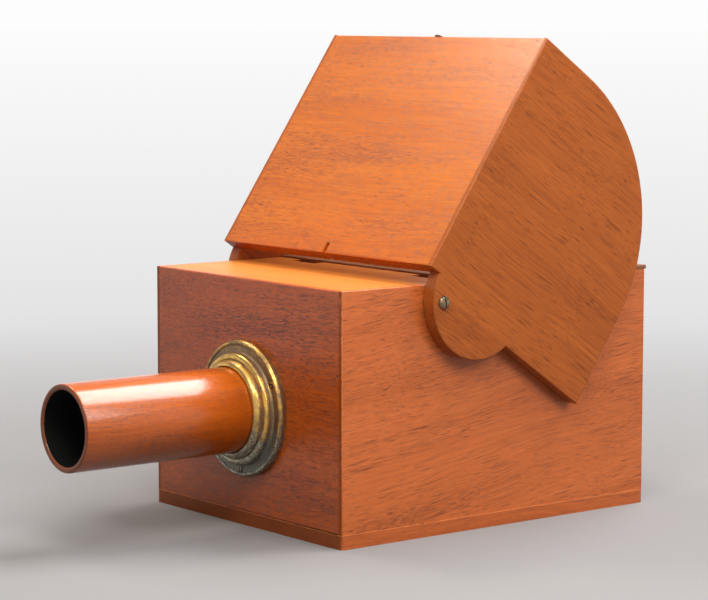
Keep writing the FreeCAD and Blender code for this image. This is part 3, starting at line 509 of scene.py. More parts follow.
# Milky: light comes through and shapes do not. The real grains are finer than these patches.
GROUND_GLASS = plain_finish("ground glass", "#E9EFEA", "#DDE5E0", 0.9 * MM, 0.55, 0.03 * MM,
                            **{"Transmission Weight": 0.55, "IOR": 1.5})
print("finishes:", len(bpy.data.materials))

# %% [markdown]
# ## Making a board
# A board is drawn as a flat outline, filled with a face and pulled out to its thickness, as a joiner
# saws a shape from a plank. Its arrises, the sharp edges, are then taken off with a small rounding,
# and a narrow band is laid round every large face. The band carries a number named wear that fades
# to nothing inside it, and the mahogany reads that number to look rubbed along its edges.

# %% Helpers for boards
EDGE_ROUND = 0.8 * MM
FINE_ROUND = 0.25 * MM
WEAR_BAND = 0.8 * MM
LARGE_FACE = 300 * MM ** 2
SMOOTH_BELOW = math.radians(40)
SAME_PLACE = 0.01 * MM
SHARP_ANGLE = 1.0           # radians
POINT, EDGE, FACE = bmesh.types.BMVert, bmesh.types.BMEdge, bmesh.types.BMFace


def only(items, kind):
    """The items of one kind, out of what an operator made."""
    return [item for item in items if isinstance(item, kind)]


def draw_outline(bm, points):
    """A closed loop of edges through the points."""
    verts = [bm.verts.new(point) for point in points]
    return [bm.edges.new((verts[n - 1], verts[n])) for n in range(len(verts))]


def corners(low, high, z):
    """The four corners of a level rectangle."""
    return [(low.x, low.y, z), (high.x, low.y, z), (high.x, high.y, z), (low.x, high.y, z)]


def circle(bm, radius, steps, place=Matrix()):
    """The edges of a new circle, carried from the origin to its place."""
    ring = bmesh.ops.create_circle(bm, segments=steps, radius=radius, matrix=place)["verts"]
    return list({edge for vert in ring for edge in vert.link_edges})


def fill(bm, edges):
    """Flat faces between the loops, with holes left open."""
    made = bmesh.ops.triangle_fill(bm, edges=edges, use_dissolve=True, use_beauty=True)
    return only(made["geom"], FACE)


def pull(bm, faces, offset):
    """Pulls faces out along an offset and returns them at their new place."""
    made = bmesh.ops.extrude_face_region(bm, geom=faces)["geom"]
    bmesh.ops.translate(bm, vec=offset, verts=only(made, POINT))
    return only(made, FACE)


def sawn(points, thickness):
    """A board from its level outline, pulled up to its thickness."""
    bm = bmesh.new()
    pull(bm, fill(bm, draw_outline(bm, points)), (0, 0, thickness))
    return bm


def bevel(bm, geom, radius, steps, affect="EDGES"):
    """Rounds edges, or the corners of a flat outline."""
    bmesh.ops.bevel(bm, geom=geom, offset=radius, offset_type="OFFSET", segments=steps, profile=0.5,
                    affect=affect, material=-1, clamp_overlap=True)


def soften(bm, wanted, radius, steps=3):
    """Turns all faces outward, then rounds the edges that a test picks out."""
    bmesh.ops.recalc_face_normals(bm, faces=bm.faces)
    bevel(bm, [edge for edge in bm.edges if wanted(edge)], radius, steps)


def is_sharp(edge):
    """Whether the faces beside an edge meet at a corner."""
    return edge.calc_face_angle(0.0) > SHARP_ANGLE


def all_at(edge, axis, place):
    """Whether both ends of an edge lie on one plane across an axis."""
    return all(abs(vert.co[axis] - place) < SAME_PLACE for vert in edge.verts)


def wear_band(bm):
    """A narrow band round each large flat face; wear is 1 on the edges and 0 inside the band."""
    wear = bm.verts.layers.float.new("wear")
    for vert in bm.verts:
        vert[wear] = 1.0
    planes = {}
    for face in bm.faces:
        key = tuple(round(c, 3) for c in face.normal) + (round(face.normal.dot(face.verts[0].co) / MM, 1),)
        planes.setdefault(key, []).append(face)
    for faces in planes.values():
        if sum(face.calc_area() for face in faces) < LARGE_FACE:
            continue
        bmesh.ops.inset_region(bm, faces=faces, thickness=WEAR_BAND, use_even_offset=True, use_boundary=True)
        for vert in {vert for face in faces for vert in face.verts}:
            vert[wear] = 0.0


def finish_piece(bm, name, body, nodes, materials, choose=None, flat=True):
    """Turns the finished bmesh into an object that rides on its body and stands for its CAD nodes."""
    bmesh.ops.recalc_face_normals(bm, faces=bm.faces)
    if choose:
        for face in bm.faces:
            face.material_index = choose(face)
    piece = to_object(bm, name, materials)
    piece.data.shade_smooth()
    piece.data.set_sharp_from_angle(angle=SMOOTH_BELOW)
    if flat:
        keep_flat = piece.modifiers.new("large faces stay flat", "WEIGHTED_NORMAL")
        keep_flat.keep_sharp = True
    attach(piece, body)
    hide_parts(*nodes)
    print("%-22s %6d faces" % (name, len(piece.data.polygons)))


print("board helpers ready")

# %% [markdown]
# ## Base board
# The base is a rounded slab that stands half a millimetre proud of the walls. Six countersunk wood
# screws come up through it. The underside is drawn first, as an outline with six round holes, and
# the slab is pulled up from it; each hole then gets its straight rim and its cone. The narrow ledge
# that stays outside the walls is painted pale, painted light that lifts the shade at the walls' foot,
# and the ends show dark end grain.

# %% Base board
BASE_CORNER = 2.5 * MM
CORNER_STEPS = 6
BASE_ROUND = 0.3 * MM
SCREW_HEAD = 3.6 * MM
SCREW_SHANK = 1.9 * MM
SCREW_SINK = 0.4 * MM
SCREW_INSET = 42 * MM
HEAD_STEPS = 32
FACES_UP, FACES_END = 0.4, 0.7      # part of the normal upward, or to the front or back

low, high = BOX["base_board"]
wall_low, wall_high = BOX["right_wall"]
front_low, front_high = BOX["front_wall"]
screw_x = (wall_low.x + wall_high.x) / 2
screw_y = wall_high.y - SCREW_INSET
end_y = (front_low.y + front_high.y) / 2
SCREW_SPOTS = [(x, y) for x in (-screw_x, screw_x) for y in (-screw_y, screw_y)] + [(0, end_y), (0, -end_y)]


def extrude_loop(bm, edges):
    """Extrudes a loop of edges. Returns the new points and the new loop."""
    made = bmesh.ops.extrude_edge_only(bm, edges=edges)["geom"]
    verts = only(made, POINT)
    return verts, [edge for edge in only(made, EDGE) if all(vert in verts for vert in edge.verts)]


def draw_up(bm, edges, rise, shrink=None, about=None):
    """Pulls a loop of edges up into a wall, and draws it in about a point if asked to."""
    verts, loop = extrude_loop(bm, edges)
    bmesh.ops.translate(bm, vec=(0, 0, rise), verts=verts)
    if shrink:
        bmesh.ops.scale(bm, vec=(shrink, shrink, 1), space=Matrix.Translation(-Vector(about)), verts=verts)
    return loop


def base_edge(edge):
    """The sharp edges round the slab, above and below, but not those of the holes."""
    start = edge.verts[0].co
    outside = max(abs(start.x) - high.x, abs(start.y) - high.y) > -BASE_CORNER
    return is_sharp(edge) and (all_at(edge, 2, 0) or all_at(edge, 2, high.z)) and outside


bm = bmesh.new()
draw_outline(bm, corners(low, high, 0))
bmesh.ops.contextual_create(bm, geom=bm.edges)
bevel(bm, bm.verts[:], BASE_CORNER, CORNER_STEPS, "VERTICES")
bmesh.ops.delete(bm, geom=bm.faces[:], context="FACES_ONLY")
rim = bm.edges[:]
holes = [circle(bm, SCREW_HEAD, HEAD_STEPS, Matrix.Translation((x, y, 0))) for x, y in SCREW_SPOTS]
fill(bm, rim + [edge for hole in holes for edge in hole])
bmesh.ops.edgeloop_fill(bm, edges=draw_up(bm, rim, high.z))
for (x, y), hole in zip(SCREW_SPOTS, holes):
    sunk = draw_up(bm, hole, SCREW_SINK)
    cone = draw_up(bm, sunk, SCREW_HEAD - SCREW_SHANK, SCREW_SHANK / SCREW_HEAD, (x, y, 0))
    bmesh.ops.edgeloop_fill(bm, edges=cone)
soften(bm, base_edge, BASE_ROUND)
wear_band(bm)
# faces that look up take the ledge's pale paint, painted light against the shade; the ends take end grain
finish_piece(bm, "base_slab", "box", ["base_board"],
             [WOOD["base"], WOOD["base end"], WOOD["base ledge painted light"]],
             lambda f: 2 if f.normal.z > FACES_UP else int(abs(f.normal.y) > FACES_END))

# %% [markdown]
# A wood screw's head is a flat disc with a cone under it and a slot across. The disc is a circle that
# is drawn in ring by ring, cut by two planes beside the slot, and the strip between them is pushed in.
# Heads are made at the origin and then carried to their places, because the slot is easy to cut there.

# %% Countersunk screws
TINY = 1e-7
SLOT_WIDTH = 0.9 * MM
SLOT_DEPTH = 0.9 * MM
CLEAN_RIM = 0.94            # share of the radius at which the dome begins
DOME_RINGS = [(0.75, 0.8), (0.45, 0.97)]    # shares of the radius and of the dome's height
RIM_RISE = 0.45
HEAD_FIT = 0.98             # the head is a hair smaller than its hole
FLAT_DOME = 0.05 * MM
SLOT_TURN = 1.1             # radians from one screw's slot to the next, since nobody lines them up


def saw(bm, point, normal):
    """Cuts every face along a plane and leaves both halves."""
    bmesh.ops.bisect_plane(bm, geom=bm.verts[:] + bm.edges[:] + bm.faces[:], plane_co=point,
                           plane_no=normal, dist=TINY)


def slotted_head(bm, radius, dome, slot_turn, rim):
    """A screw head about the origin that faces +Z: a slightly domed disc with a slot across it. The
    faces of the slot take the second material, a dark colour, and so does a dark rim round the head when rim
    is below CLEAN_RIM."""
    edges = circle(bm, radius, HEAD_STEPS)
    for share, rise in [(rim, RIM_RISE)] + DOME_RINGS:
        verts, edges = extrude_loop(bm, edges)
        size = share * radius / verts[0].co.xy.length
        bmesh.ops.scale(bm, vec=(size, size, 1), verts=verts)
        for vert in verts:
            vert.co.z = dome * rise
    bmesh.ops.edgeloop_fill(bm, edges=edges)
    for side in (-1, 1):
        saw(bm, (0, side * SLOT_WIDTH / 2, 0), (0, side, 0))
    strip = [face for face in bm.faces if abs(face.calc_center_median().y) < SLOT_WIDTH / 2]
    pull(bm, strip, (0, 0, -SLOT_DEPTH))
    for face in bm.faces:
        middle = face.calc_center_median()
        in_slot = abs(middle.y) < SLOT_WIDTH / 2 + SAME_PLACE    # its walls too
        on_rim = rim < CLEAN_RIM and middle.xy.length > rim * radius
        face.material_index = int(in_slot or on_rim)
    bmesh.ops.rotate(bm, cent=(0, 0, 0), matrix=Matrix.Rotation(slot_turn, 3, "Z"), verts=bm.verts)


def place_head(bm, radius, dome, slot_turn, matrix, rim=CLEAN_RIM):
    """One slotted head, carried from the origin to its place and joined to a bmesh."""
    head = bmesh.new()
    slotted_head(head, radius, dome, slot_turn, rim)
    bmesh.ops.transform(head, matrix=matrix, verts=head.verts)
    carried = bpy.data.meshes.new("head")
    head.to_mesh(carried)
    head.free()
    bm.from_mesh(carried)
    bpy.data.meshes.remove(carried)


FACE_DOWN = Matrix.Rotation(math.pi, 4, "X")
bm = bmesh.new()
for number, (x, y) in enumerate(SCREW_SPOTS):
    place_head(bm, SCREW_HEAD * HEAD_FIT, FLAT_DOME, number * SLOT_TURN,
               Matrix.Translation((x, y, SCREW_SINK)) @ FACE_DOWN)
finish_piece(bm, "base_wood_screws", "box", ["base_screws"],
             [SCREW_STEEL, SLOT_DARK], flat=False)

# %% [markdown]
# ## Front board
# The front is one board with a round hole for the tube. It is drawn flat, filled round the hole and
# pulled back in two steps, because its upper edge is rebated on the inside: the top board drops into
# that step and shows no end of its own. The inside is blackened, as all of the box is.

# %% Front board
FRONT_HOLE = 27.5 * MM
BORE_STEPS = 96
top_low, top_high = BOX["top_board"]
low, high = BOX["front_wall"]
lap = top_low.y - low.y

bm = bmesh.new()
lower = draw_outline(bm, [(low.x, low.y, low.z), (high.x, low.y, low.z), (high.x, low.y, top_low.z),
                          (low.x, low.y, top_low.z)])
upright = Matrix.Translation((0, low.y, AXIS_Z)) @ Matrix.Rotation(math.pi / 2, 4, "X")
fill(bm, lower + circle(bm, FRONT_HOLE, BORE_STEPS, upright))
level_edge = [edge for edge in bm.edges if all_at(edge, 2, top_low.z)]
draw_up(bm, level_edge, high.z - top_low.z)
skin = pull(bm, bm.faces[:], (0, lap, 0))
pull(bm, [f for f in skin if f.calc_center_median().z < top_low.z], (0, high.y - low.y - lap, 0))
soften(bm, lambda e: all_at(e, 1, low.y) and all_at(e, 2, high.z), EDGE_ROUND)
soften(bm, lambda e: all_at(e, 1, low.y) and (all_at(e, 0, low.x) or all_at(e, 0, high.x)), FINE_ROUND, 2)
wear_band(bm)
finish_piece(bm, "front_board", "box", ["front_wall"], [WOOD["front"], LAMP_BLACK],
             lambda f: int(f.calc_center_median().y > low.y + lap + MM))

# %% [markdown]
# ## Sides and back
# The sides lap over the ends of the front and the back, so a narrow strip of their end grain shows
# on the front face. Each is cut in steps: a lip beside the top board, a rebate for it, and a long
# level seat behind for the screen. A plan of small cells is drawn and every cell is pulled up to its
# own height, which gives all the steps at once and leaves no seams between them.

# %% Side boards and back board
SEAT_Z = BOX["back_wall"][1].z
SIDE_ROUND = 0.5 * MM
FLAT_ANGLE = 0.01           # radians; faces that meet at less become one
SQUARELY = 0.9              # part of a normal along a direction from which a face counts as facing it
END_ARRIS, END_LEVEL = 0.2, 0.5     # normals of a board's end and its rounded arris, but not of its top


def cell_of(face, xs, ys):
    """The column and row in which a face's middle lies."""
    middle = face.calc_center_median()
    return sum(middle.x > x for x in xs[1:]), sum(middle.y > y for y in ys[1:])


def plan_of_cells(bm, xs, ys, z, empty=()):
    """A level grid with its lines at xs and ys, less the empty cells. Returns its faces."""
    columns, rows = len(xs) - 1, len(ys) - 1
    bmesh.ops.create_grid(bm, x_segments=columns, y_segments=rows, size=0.5)
    for vert in bm.verts:
        vert.co = (xs[round((vert.co.x + 0.5) * columns)], ys[round((vert.co.y + 0.5) * rows)], z)
    bmesh.ops.delete(bm, geom=[f for f in bm.faces if cell_of(f, xs, ys) in empty], context="FACES")
    return bm.faces[:]


def merge_flat(bm):
    """Joins the faces that lie in one plane."""
    bmesh.ops.dissolve_limit(bm, angle_limit=FLAT_ANGLE, verts=bm.verts, edges=bm.edges)


def side_board(name, node, hand):
    """One side, right for a hand of 1 and left for -1."""
    low, high = BOX[node]
    outer, inner = (high.x, low.x) if hand > 0 else (low.x, high.x)
    lip = hand * BOX["front_wall"][1].x
    xs = sorted([outer, lip, inner])
    ys = [low.y, BOX["front_wall"][1].y, top_high.y, BOX["back_wall"][0].y, high.y]
    thin, thick = (1, 0) if hand > 0 else (0, 1)
    bm = bmesh.new()
    cells = plan_of_cells(bm, xs, ys, low.z, empty=[(thick, 0), (thick, 3)])
    rising = pull(bm, cells, (0, 0, top_low.z - low.z))
    rising = [f for f in rising if cell_of(f, xs, ys) != (thick, 1)]
    rising = pull(bm, rising, (0, 0, SEAT_Z - top_low.z))
    pull(bm, [f for f in rising if cell_of(f, xs, ys) in ((thin, 0), (thin, 1))], (0, 0, high.z - SEAT_Z))
    merge_flat(bm)
    soften(bm, lambda e: all_at(e, 0, outer) and is_sharp(e) and not all_at(e, 2, low.z), SIDE_ROUND)
    wear_band(bm)
    inside = abs(inner) + SIDE_ROUND

    def side_face(face):
        if abs(face.calc_center_median().x) < inside and abs(face.normal.x) > SQUARELY:
            return 1
        return 2 if face.normal.y < -END_ARRIS and abs(face.normal.z) < END_LEVEL else 0

    finish_piece(bm, name, "box", [node],
                 [WOOD["side"], LAMP_BLACK, WOOD["board end"]], side_face)


side_board("right_board", "right_wall", 1)
side_board("left_board", "left_wall", -1)

low, high = BOX["back_wall"]
bm = sawn(corners(low, high, low.z), high.z - low.z)
soften(bm, lambda e: all_at(e, 1, high.y) and not all_at(e, 2, low.z), FINE_ROUND, 2)
wear_band(bm)
finish_piece(bm, "back_board", "box", ["back_wall"], [WOOD["back"], LAMP_BLACK],
             lambda f: int(f.normal.y < -SQUARELY))

# %% [markdown]
# ## Top board
# The fixed half of the top has two hollows at its rear edge, where a finger reaches under the screen
# to lift it out. They are part of the outline, as a saw would cut them.

# %% Top board
NOTCH_PLACE = 61.5 * MM
NOTCH_HALF = 13 * MM
NOTCH_DEEP = 9 * MM

low, high = BOX["top_board"]
cut = high.y - NOTCH_DEEP
front_left, front_right, rear_right, rear_left = corners(low, high, low.z)
outline = [front_left, front_right, rear_right]
for middle in (NOTCH_PLACE, -NOTCH_PLACE):
    near, beyond = middle + NOTCH_HALF, middle - NOTCH_HALF
    outline += [(near, high.y, low.z), (near, cut, low.z), (beyond, cut, low.z), (beyond, high.y, low.z)]
bm = sawn(outline + [rear_left], high.z - low.z)
soften(bm, lambda e: all_at(e, 2, high.z) and is_sharp(e), FINE_ROUND, 2)
wear_band(bm)
finish_piece(bm, "top_panel", "box", ["top_board"], [WOOD["top"], LAMP_BLACK],
             lambda f: int(f.normal.z < -SQUARELY))

# %% [markdown]
# ## Screen frame
# The frame that holds the ground glass is cut from one board. It lies on the seat with a thin flange
# and drops into the box with a deeper rim, and the glass lies on a ledge inside it. It is made from a
# plan of cells again: all of them go up by the flange, and the ring under the rim goes down.

# %% Screen frame
RIM_GAP = 0.4 * MM        # air between the rim and the inside of the box
FRAME_ROUND = 0.5 * MM
WINDOW = (3, 2)           # column and row of the open cell in the middle

low, high = BOX["screen_frame"]
left, right = BOX["screen_bead_left"], BOX["screen_bead_right"]
front, back = BOX["screen_bead_front"], BOX["screen_bead_back"]
rim_x = BOX["right_wall"][0].x - RIM_GAP
rim_y = BOX["back_wall"][0].y - RIM_GAP
xs = [low.x, -rim_x, left[0].x, left[1].x, right[0].x, right[1].x, rim_x, high.x]
ys = [low.y, front[0].y, front[1].y, back[0].y, back[1].y, rim_y, high.y]


def under_rim(face):
    """Whether a face is in the ring of cells that goes down: inside the flange, outside the ledge."""
    column, row = cell_of(face, xs, ys)
    on_ledge = 2 <= column <= 4 and 1 <= row <= 3
    return face.normal.z < -SQUARELY and 1 <= column <= 5 and row <= 4 and not on_ledge


bm = bmesh.new()
pull(bm, plan_of_cells(bm, xs, ys, SEAT_Z, empty=[WINDOW]), (0, 0, high.z - SEAT_Z))
bmesh.ops.recalc_face_normals(bm, faces=bm.faces)
pull(bm, [f for f in bm.faces if under_rim(f)], (0, 0, low.z - SEAT_Z))
merge_flat(bm)
soften(bm, lambda e: all_at(e, 2, high.z) and is_sharp(e), FRAME_ROUND)
wear_band(bm)
finish_piece(bm, "screen_frame_wood", "screen", ["screen_frame"], [WOOD["frame"]])

# %% [markdown]
# ## Hood
# The hood is a sloping panel between two cheeks, and it swings on two screws. Its pieces are drawn as
# if it were shut, about the pivot: Y runs along the panel and Z up from it. A single turn then swings
# them open. The panel has a short slot in its lower edge, and the cheeks run up beside it with a thin
# lip, which shows from above as a pale strip along the panel's edge.

# %% Hood panel
SWING = Matrix.Translation(PIVOT) @ Matrix.Rotation(math.radians(HOOD_OPEN), 4, "X")
PANEL_START = 12.9 * MM
PANEL_END = 175.5 * MM
PANEL_UNDER = 12.6 * MM
PANEL_TOP = 21.3 * MM
CHEEK_LIP = 3.0 * MM
CUT_MIDDLE = 1.5 * MM
CUT_WIDTH = 3.3 * MM
CUT_DEEP = 7.2 * MM
CUT_MARGIN = 0.1 * MM

cheek_low, cheek_high = BOX["hood_cheek_right"]
half = cheek_high.x - CHEEK_LIP
left_of_cut = CUT_MIDDLE - CUT_WIDTH / 2
right_of_cut = CUT_MIDDLE + CUT_WIDTH / 2
cut_end = PANEL_START + CUT_DEEP
down_slope = SWING.to_3x3() @ Vector((0, -1, 0))


def panel_end(edge):
    """The upper edges at the panel's two ends."""
    return all_at(edge, 2, PANEL_TOP) and (all_at(edge, 1, PANEL_START) or all_at(edge, 1, PANEL_END))


def panel_face(face):
    """The bare wood in the cut, the panel's lower end in its painted shade, or its varnished faces."""
    beside = abs(face.calc_center_median().x - CUT_MIDDLE)
    if beside < CUT_WIDTH / 2 + CUT_MARGIN and face.calc_area() < CUT_DEEP ** 2:
        return 1
    return 2 if face.normal.dot(down_slope) > SQUARELY else 0


bm = sawn([(x, y, PANEL_UNDER) for x, y in (
    (-half, PANEL_START), (left_of_cut, PANEL_START), (left_of_cut, cut_end), (right_of_cut, cut_end),
    (right_of_cut, PANEL_START), (half, PANEL_START), (half, PANEL_END), (-half, PANEL_END))],
    PANEL_TOP - PANEL_UNDER)
soften(bm, panel_end, EDGE_ROUND)
soften(bm, lambda e: all_at(e, 2, PANEL_TOP) and is_sharp(e), FINE_ROUND, 2)
wear_band(bm)
bmesh.ops.transform(bm, matrix=SWING, verts=bm.verts)
finish_piece(bm, "hood_sloping_panel", "hood", ["hood_panel"],
             [WOOD["panel"], WOOD["cut"], WOOD["panel end in painted shade"]], panel_face)

# %% [markdown]
# A cheek is sawn to a shape with two sweeps: a small round ear about the pivot, and one long curve
# over the back. Each sweep is a single point that is spun about the middle of its circle, so that the
# curve is smooth and its ends meet the straight parts without a kink.

# %% Hood cheeks
EAR_MIDDLE = Vector((0, 15.8 * MM, -24.0 * MM))
EAR_END = Vector((0, 3.0 * MM, -58.29 * MM))
EAR_START = Vector((0, 12.9 * MM, 12.49 * MM))
TAIL = 130.8 * MM
BACK_MIDDLE = Vector((0, 67.5 * MM, -22.8 * MM))
SWEEP_STEPS = 40


def trace(bm, last, y, z):
    """A straight edge from the last point of the outline to a new one, which it returns."""
    point = bm.verts.new((cheek_high.x, y, z))
    bm.edges.new((last, point))
    return point


def sweep(bm, last, middle, angle):
    """The last point spun about the X line through a middle. Returns the end of the curve."""
    made = bmesh.ops.spin(bm, geom=[last], cent=(cheek_high.x, middle.y, middle.z), axis=(1, 0, 0),
                          angle=angle, steps=SWEEP_STEPS)
    return only(made["geom_last"], POINT)[0]


def cheek(name, node, hand):
    """One cheek, drawn on the right and mirrored for a hand of -1."""
    outer = cheek_high.x
    bm = bmesh.new()
    spoke, spoke_end = EAR_START - EAR_MIDDLE, EAR_END - EAR_MIDDLE
    ear_angle = math.atan2(spoke_end.z, spoke_end.y) - math.atan2(spoke.z, spoke.y)
    first = bm.verts.new((outer, PANEL_START, PANEL_TOP))
    last = trace(bm, first, EAR_START.y, EAR_START.z)
    last = sweep(bm, last, EAR_MIDDLE, ear_angle % (2 * math.pi))
    last = trace(bm, last, EAR_END.y, -TAIL)
    last = trace(bm, last, BACK_MIDDLE.y, -TAIL)
    last = sweep(bm, last, BACK_MIDDLE, math.pi / 2)
    last = trace(bm, last, PANEL_END, PANEL_TOP)
    bm.edges.new((last, first))
    fill(bm, bm.edges[:])
    saw(bm, (0, 0, PANEL_UNDER), (0, 0, 1))
    skin = pull(bm, bm.faces[:], (-CHEEK_LIP, 0, 0))
    below_lip = [f for f in skin if f.calc_center_median().z < PANEL_UNDER]
    pull(bm, below_lip, (cheek_low.x - outer + CHEEK_LIP, 0, 0))
    merge_flat(bm)
    soften(bm, lambda e: all_at(e, 0, outer), EDGE_ROUND)
    soften(bm, lambda e: all_at(e, 0, cheek_low.x), FINE_ROUND, 2)
    wear_band(bm)
    if hand < 0:
        bmesh.ops.scale(bm, vec=(-1, 1, 1), verts=bm.verts)
    bmesh.ops.transform(bm, matrix=SWING, verts=bm.verts)
    finish_piece(bm, name, "hood", [node], [WOOD["cheek"]])


cheek("right_cheek", "hood_cheek_right", 1)
cheek("left_cheek", "hood_cheek_left", -1)

# %% [markdown]
# ## Turned pieces
# The flange, the tube and the small fittings were made on a lathe, so each is drawn as half of its
# section and spun round its axis. The corners of the section are rounded first, while it is still a
# flat face, because that is where the turner's tool rounds them.

# %% Helper for turned pieces
TURN_STEPS = 128
ROUNDING_STEPS = 5


def turned(section, axis_z, steps=TURN_STEPS):
    """Spins a closed section about the line along Y at a height. section gives each corner's radius, its
    place along Y and its rounding, 0 for a sharp one."""
    bm = bmesh.new()
    verts = [bm.verts.new((radius, y, axis_z)) for radius, y, _ in section]
    bm.faces.new(verts)
    for wanted in sorted({rounding for _, _, rounding in section if rounding > 0}):
        chosen = [vert for vert, (_, _, rounding) in zip(verts, section) if rounding == wanted]
        bevel(bm, chosen, wanted, ROUNDING_STEPS, "VERTICES")
    bmesh.ops.delete(bm, geom=bm.faces[:], context="FACES_ONLY")
    bmesh.ops.spin(bm, geom=bm.verts[:] + bm.edges[:], cent=(0, 0, axis_z), axis=(0, 1, 0),
                   angle=2 * math.pi, steps=steps, use_merge=True)
    bmesh.ops.remove_doubles(bm, verts=bm.verts, dist=TINY)
    bmesh.ops.recalc_face_normals(bm, faces=bm.faces)
    return bm


print("lathe ready")

# %% [markdown]
# The brass flange is the finest piece of turning on the object: a broad land with a rim round it, two
# beads, and a collar that holds the tube. It is drawn as radius and height off the front board. Its
# points carry a number named hollow, which tells the brass where dirt has stayed.

# %% Brass flange
FLANGE_SECTION = [          # radius, height off the board, rounding, all in mm
    (42.4, 0.0, 0.0), (42.4, 3.0, 1.2), (41.4, 5.0, 1.2), (39.8, 4.9, 0.5), (39.5, 4.2, 0.3),
    (35.6, 4.2, 0.8), (34.8, 5.4, 0.8), (34.4, 9.6, 1.8), (31.2, 9.9, 1.2), (30.9, 9.5, 0.1),
    (30.6, 9.8, 0.1), (30.4, 11.8, 1.4), (28.6, 14.2, 1.6), (26.8, 14.2, 0.5), (26.8, 0.0, 0.0),
]
HOLLOWS = [(34.7, 39.5, 1.0), (30.5, 31.0, 0.8), (39.5, 43.0, 0.5)]     # radii in mm, share of dirt

board_y = BOX["front_wall"][0].y
bm = turned([(r * MM, board_y - h * MM, soft * MM) for r, h, soft in FLANGE_SECTION], AXIS_Z)
hollow = bm.verts.layers.float.new("hollow")
for vert in bm.verts:
    radius = math.hypot(vert.co.x, vert.co.z - AXIS_Z) / MM
    vert[hollow] = max([dirt for inner, outer, dirt in HOLLOWS if inner < radius < outer], default=0.0)
finish_piece(bm, "brass_flange", "box", ["lens_flange"], [BRASS], flat=False)

# %% [markdown]
# ## Lens tube
# The tube is turned from mahogany and polished brighter than the box. Its mouth is rounded over, and
# the bore is blackened right up to the rim so that no light scatters inside.

# %% Lens tube
TUBE_OUTER = 26.4 * MM
TUBE_BORE = 22.8 * MM
MOUTH_ROUND = 1.2 * MM
INNER_ROUND = 0.4 * MM
BLACK_FROM = 0.6            # share of the mouth's rounding at which the paint begins
END_ON = 0.5


def tube_face(face):
    """Black in the bore, end grain on the mouth, polished elsewhere."""
    middle = face.calc_center_median()
    inside = math.hypot(middle.x, middle.z - AXIS_Z) < (TUBE_OUTER + TUBE_BORE) / 2
    if inside and middle.y > tube_low.y + MOUTH_ROUND * BLACK_FROM:
        return 1
    return 2 if face.normal.y < -END_ON else 0


bm = turned([(TUBE_OUTER, tube_low.y, MOUTH_ROUND), (TUBE_OUTER, tube_high.y, INNER_ROUND),
             (TUBE_BORE, tube_high.y, INNER_ROUND), (TUBE_BORE, tube_low.y, MOUTH_ROUND)], AXIS_Z)
finish_piece(bm, "polished_tube", "tube", ["lens_tube"],
             [WOOD["tube"], LAMP_BLACK, WOOD["rim"]], tube_face, flat=False)

# %% [markdown]
# ## Felt sleeve
# A sleeve of felt lines the hole, so that the tube slides without a rattle and no light leaks past.
# It is a thin pipe, spun like the rest, with its inner edges a little rounded.

# %% Felt sleeve
FELT_OUTER = 27.45 * MM
FELT_INNER = 26.45 * MM
FELT_ROUND = 0.3 * MM
low, high = BOX["felt_liner"]
bm = turned([(FELT_OUTER, low.y, 0), (FELT_OUTER, high.y, 0), (FELT_INNER, high.y, FELT_ROUND),
             (FELT_INNER, low.y, FELT_ROUND)], AXIS_Z)
finish_piece(bm, "felt_sleeve", "box", ["felt_liner"], [FELT], flat=False)

# %% [markdown]
# ## Small brass
# Three countersunk screws hold the flange. The hood swings on two round-headed ones, and a small
# turned stud at the top of the panel is what the fingers take hold of. The heads come from the same
# function as those under the base, with a higher dome or with a dark ring round them.

# %% Flange screws, pivot screws and stud
FLANGE_SCREWS = [(30, 0), (150, 60), (270, 90)]     # place round the flange and turn of the slot, degrees
SCREW_CIRCLE = 37.3 * MM
HEAD_HEIGHT = 4.6 * MM
FLANGE_HEAD = 2.7 * MM
FLANGE_DOME = 0.2 * MM
DARK_RIM = 0.84            # share of the head's radius inside the dark ring round it
FACE_FRONT = Matrix.Rotation(math.pi / 2, 4, "X")
bm = bmesh.new()
for around, slot_turn in FLANGE_SCREWS:
    angle = math.radians(around)
    spot = Vector((math.cos(angle) * SCREW_CIRCLE, board_y - HEAD_HEIGHT,
                   AXIS_Z + math.sin(angle) * SCREW_CIRCLE))
    place_head(bm, FLANGE_HEAD, FLANGE_DOME, math.radians(slot_turn),
               Matrix.Translation(spot) @ FACE_FRONT, DARK_RIM)
finish_piece(bm, "flange_wood_screws", "box", ["flange_screws"],
             [DARK_BRASS, SLOT_DARK], flat=False)

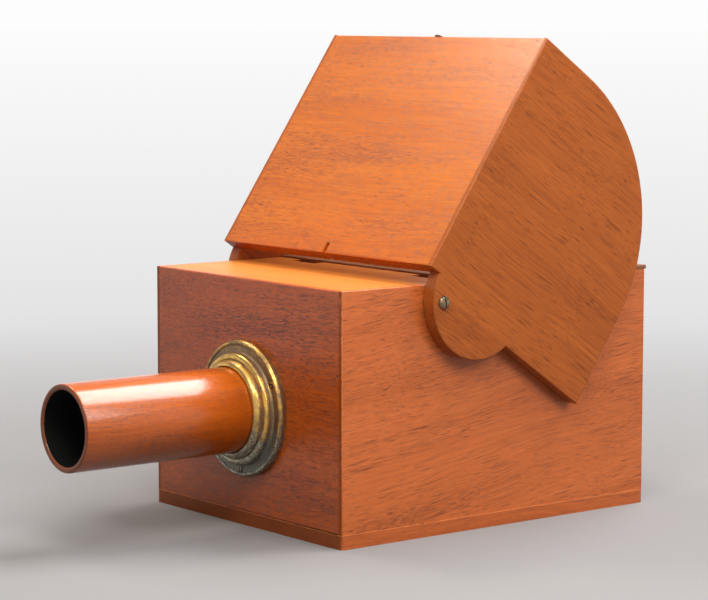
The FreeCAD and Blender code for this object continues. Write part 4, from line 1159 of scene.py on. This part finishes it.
PIVOT_HEAD = 4.1 * MM
PIVOT_DOME = 2.4 * MM
PIVOT_SEAT = 106.25 * MM    # from the middle of the box to the underside of a head
PIVOT_SLOT = math.radians(8)
for side, hand in (("right", 1), ("left", -1)):
    bm = bmesh.new()
    seat = Matrix.Translation((hand * PIVOT_SEAT, PIVOT.y, PIVOT.z))
    place_head(bm, PIVOT_HEAD, PIVOT_DOME, PIVOT_SLOT, seat @ Matrix.Rotation(hand * math.pi / 2, 4, "Y"))
    finish_piece(bm, "pivot_round_screw_" + side, "box", ["pivot_screw_" + side],
                 [SCREW_BRASS, SLOT_DARK], flat=False)

STUD_SECTION = [            # radius and height off the panel's end, rounding, in mm
    (0.0, 0.0, 0.0), (1.8, 0.0, 0.0), (1.8, 1.2, 0.2), (4.3, 1.2, 0.15), (3.8, 1.6, 0.3),
    (2.4, 2.4, 0.5), (0.0, 2.9, 0.0),
]
STUD_Z = (PANEL_UNDER + PANEL_TOP) / 2
STUD_STEPS = 48
bm = turned([(r * MM, PANEL_END + h * MM, soft * MM) for r, h, soft in STUD_SECTION], STUD_Z, STUD_STEPS)
bmesh.ops.transform(bm, matrix=SWING, verts=bm.verts)
finish_piece(bm, "lifting_stud", "hood", ["lift_stud"], [SCREW_BRASS], flat=False)

# %% [markdown]
# ## Pieces that stay as the solid model made them
# The mirror with its board, bearers and stops, the glass, the beads that hold it, and the ring inside
# the front are seen only through the hood, the tube or an open screen. Their shapes are already right,
# so they only get their finishes.

# %% Finishes for the inner pieces
INNER_FINISH = [
    (LAMP_BLACK, ["mirror_backboard", "mirror_stop_low", "mirror_stop_high", "mirror_bearer_left",
                  "mirror_bearer_right", "guide_ring"]),
    (WOOD["frame"], ["screen_bead_front", "screen_bead_back", "screen_bead_left", "screen_bead_right"]),
    (SCREW_BRASS, ["pivot_washer_left", "pivot_washer_right"]),
    (BRASS, ["lens_ring"]), (SILVER, ["mirror_glass"]), (LENS_GLASS, ["lens_glass"]),
    (GROUND_GLASS, ["ground_glass"]),
]
for material, nodes in INNER_FINISH:
    for node in nodes:
        for slot in bpy.data.objects[node].material_slots:
            slot.material = material
print("inner pieces:", sum(len(nodes) for _, nodes in INNER_FINISH))
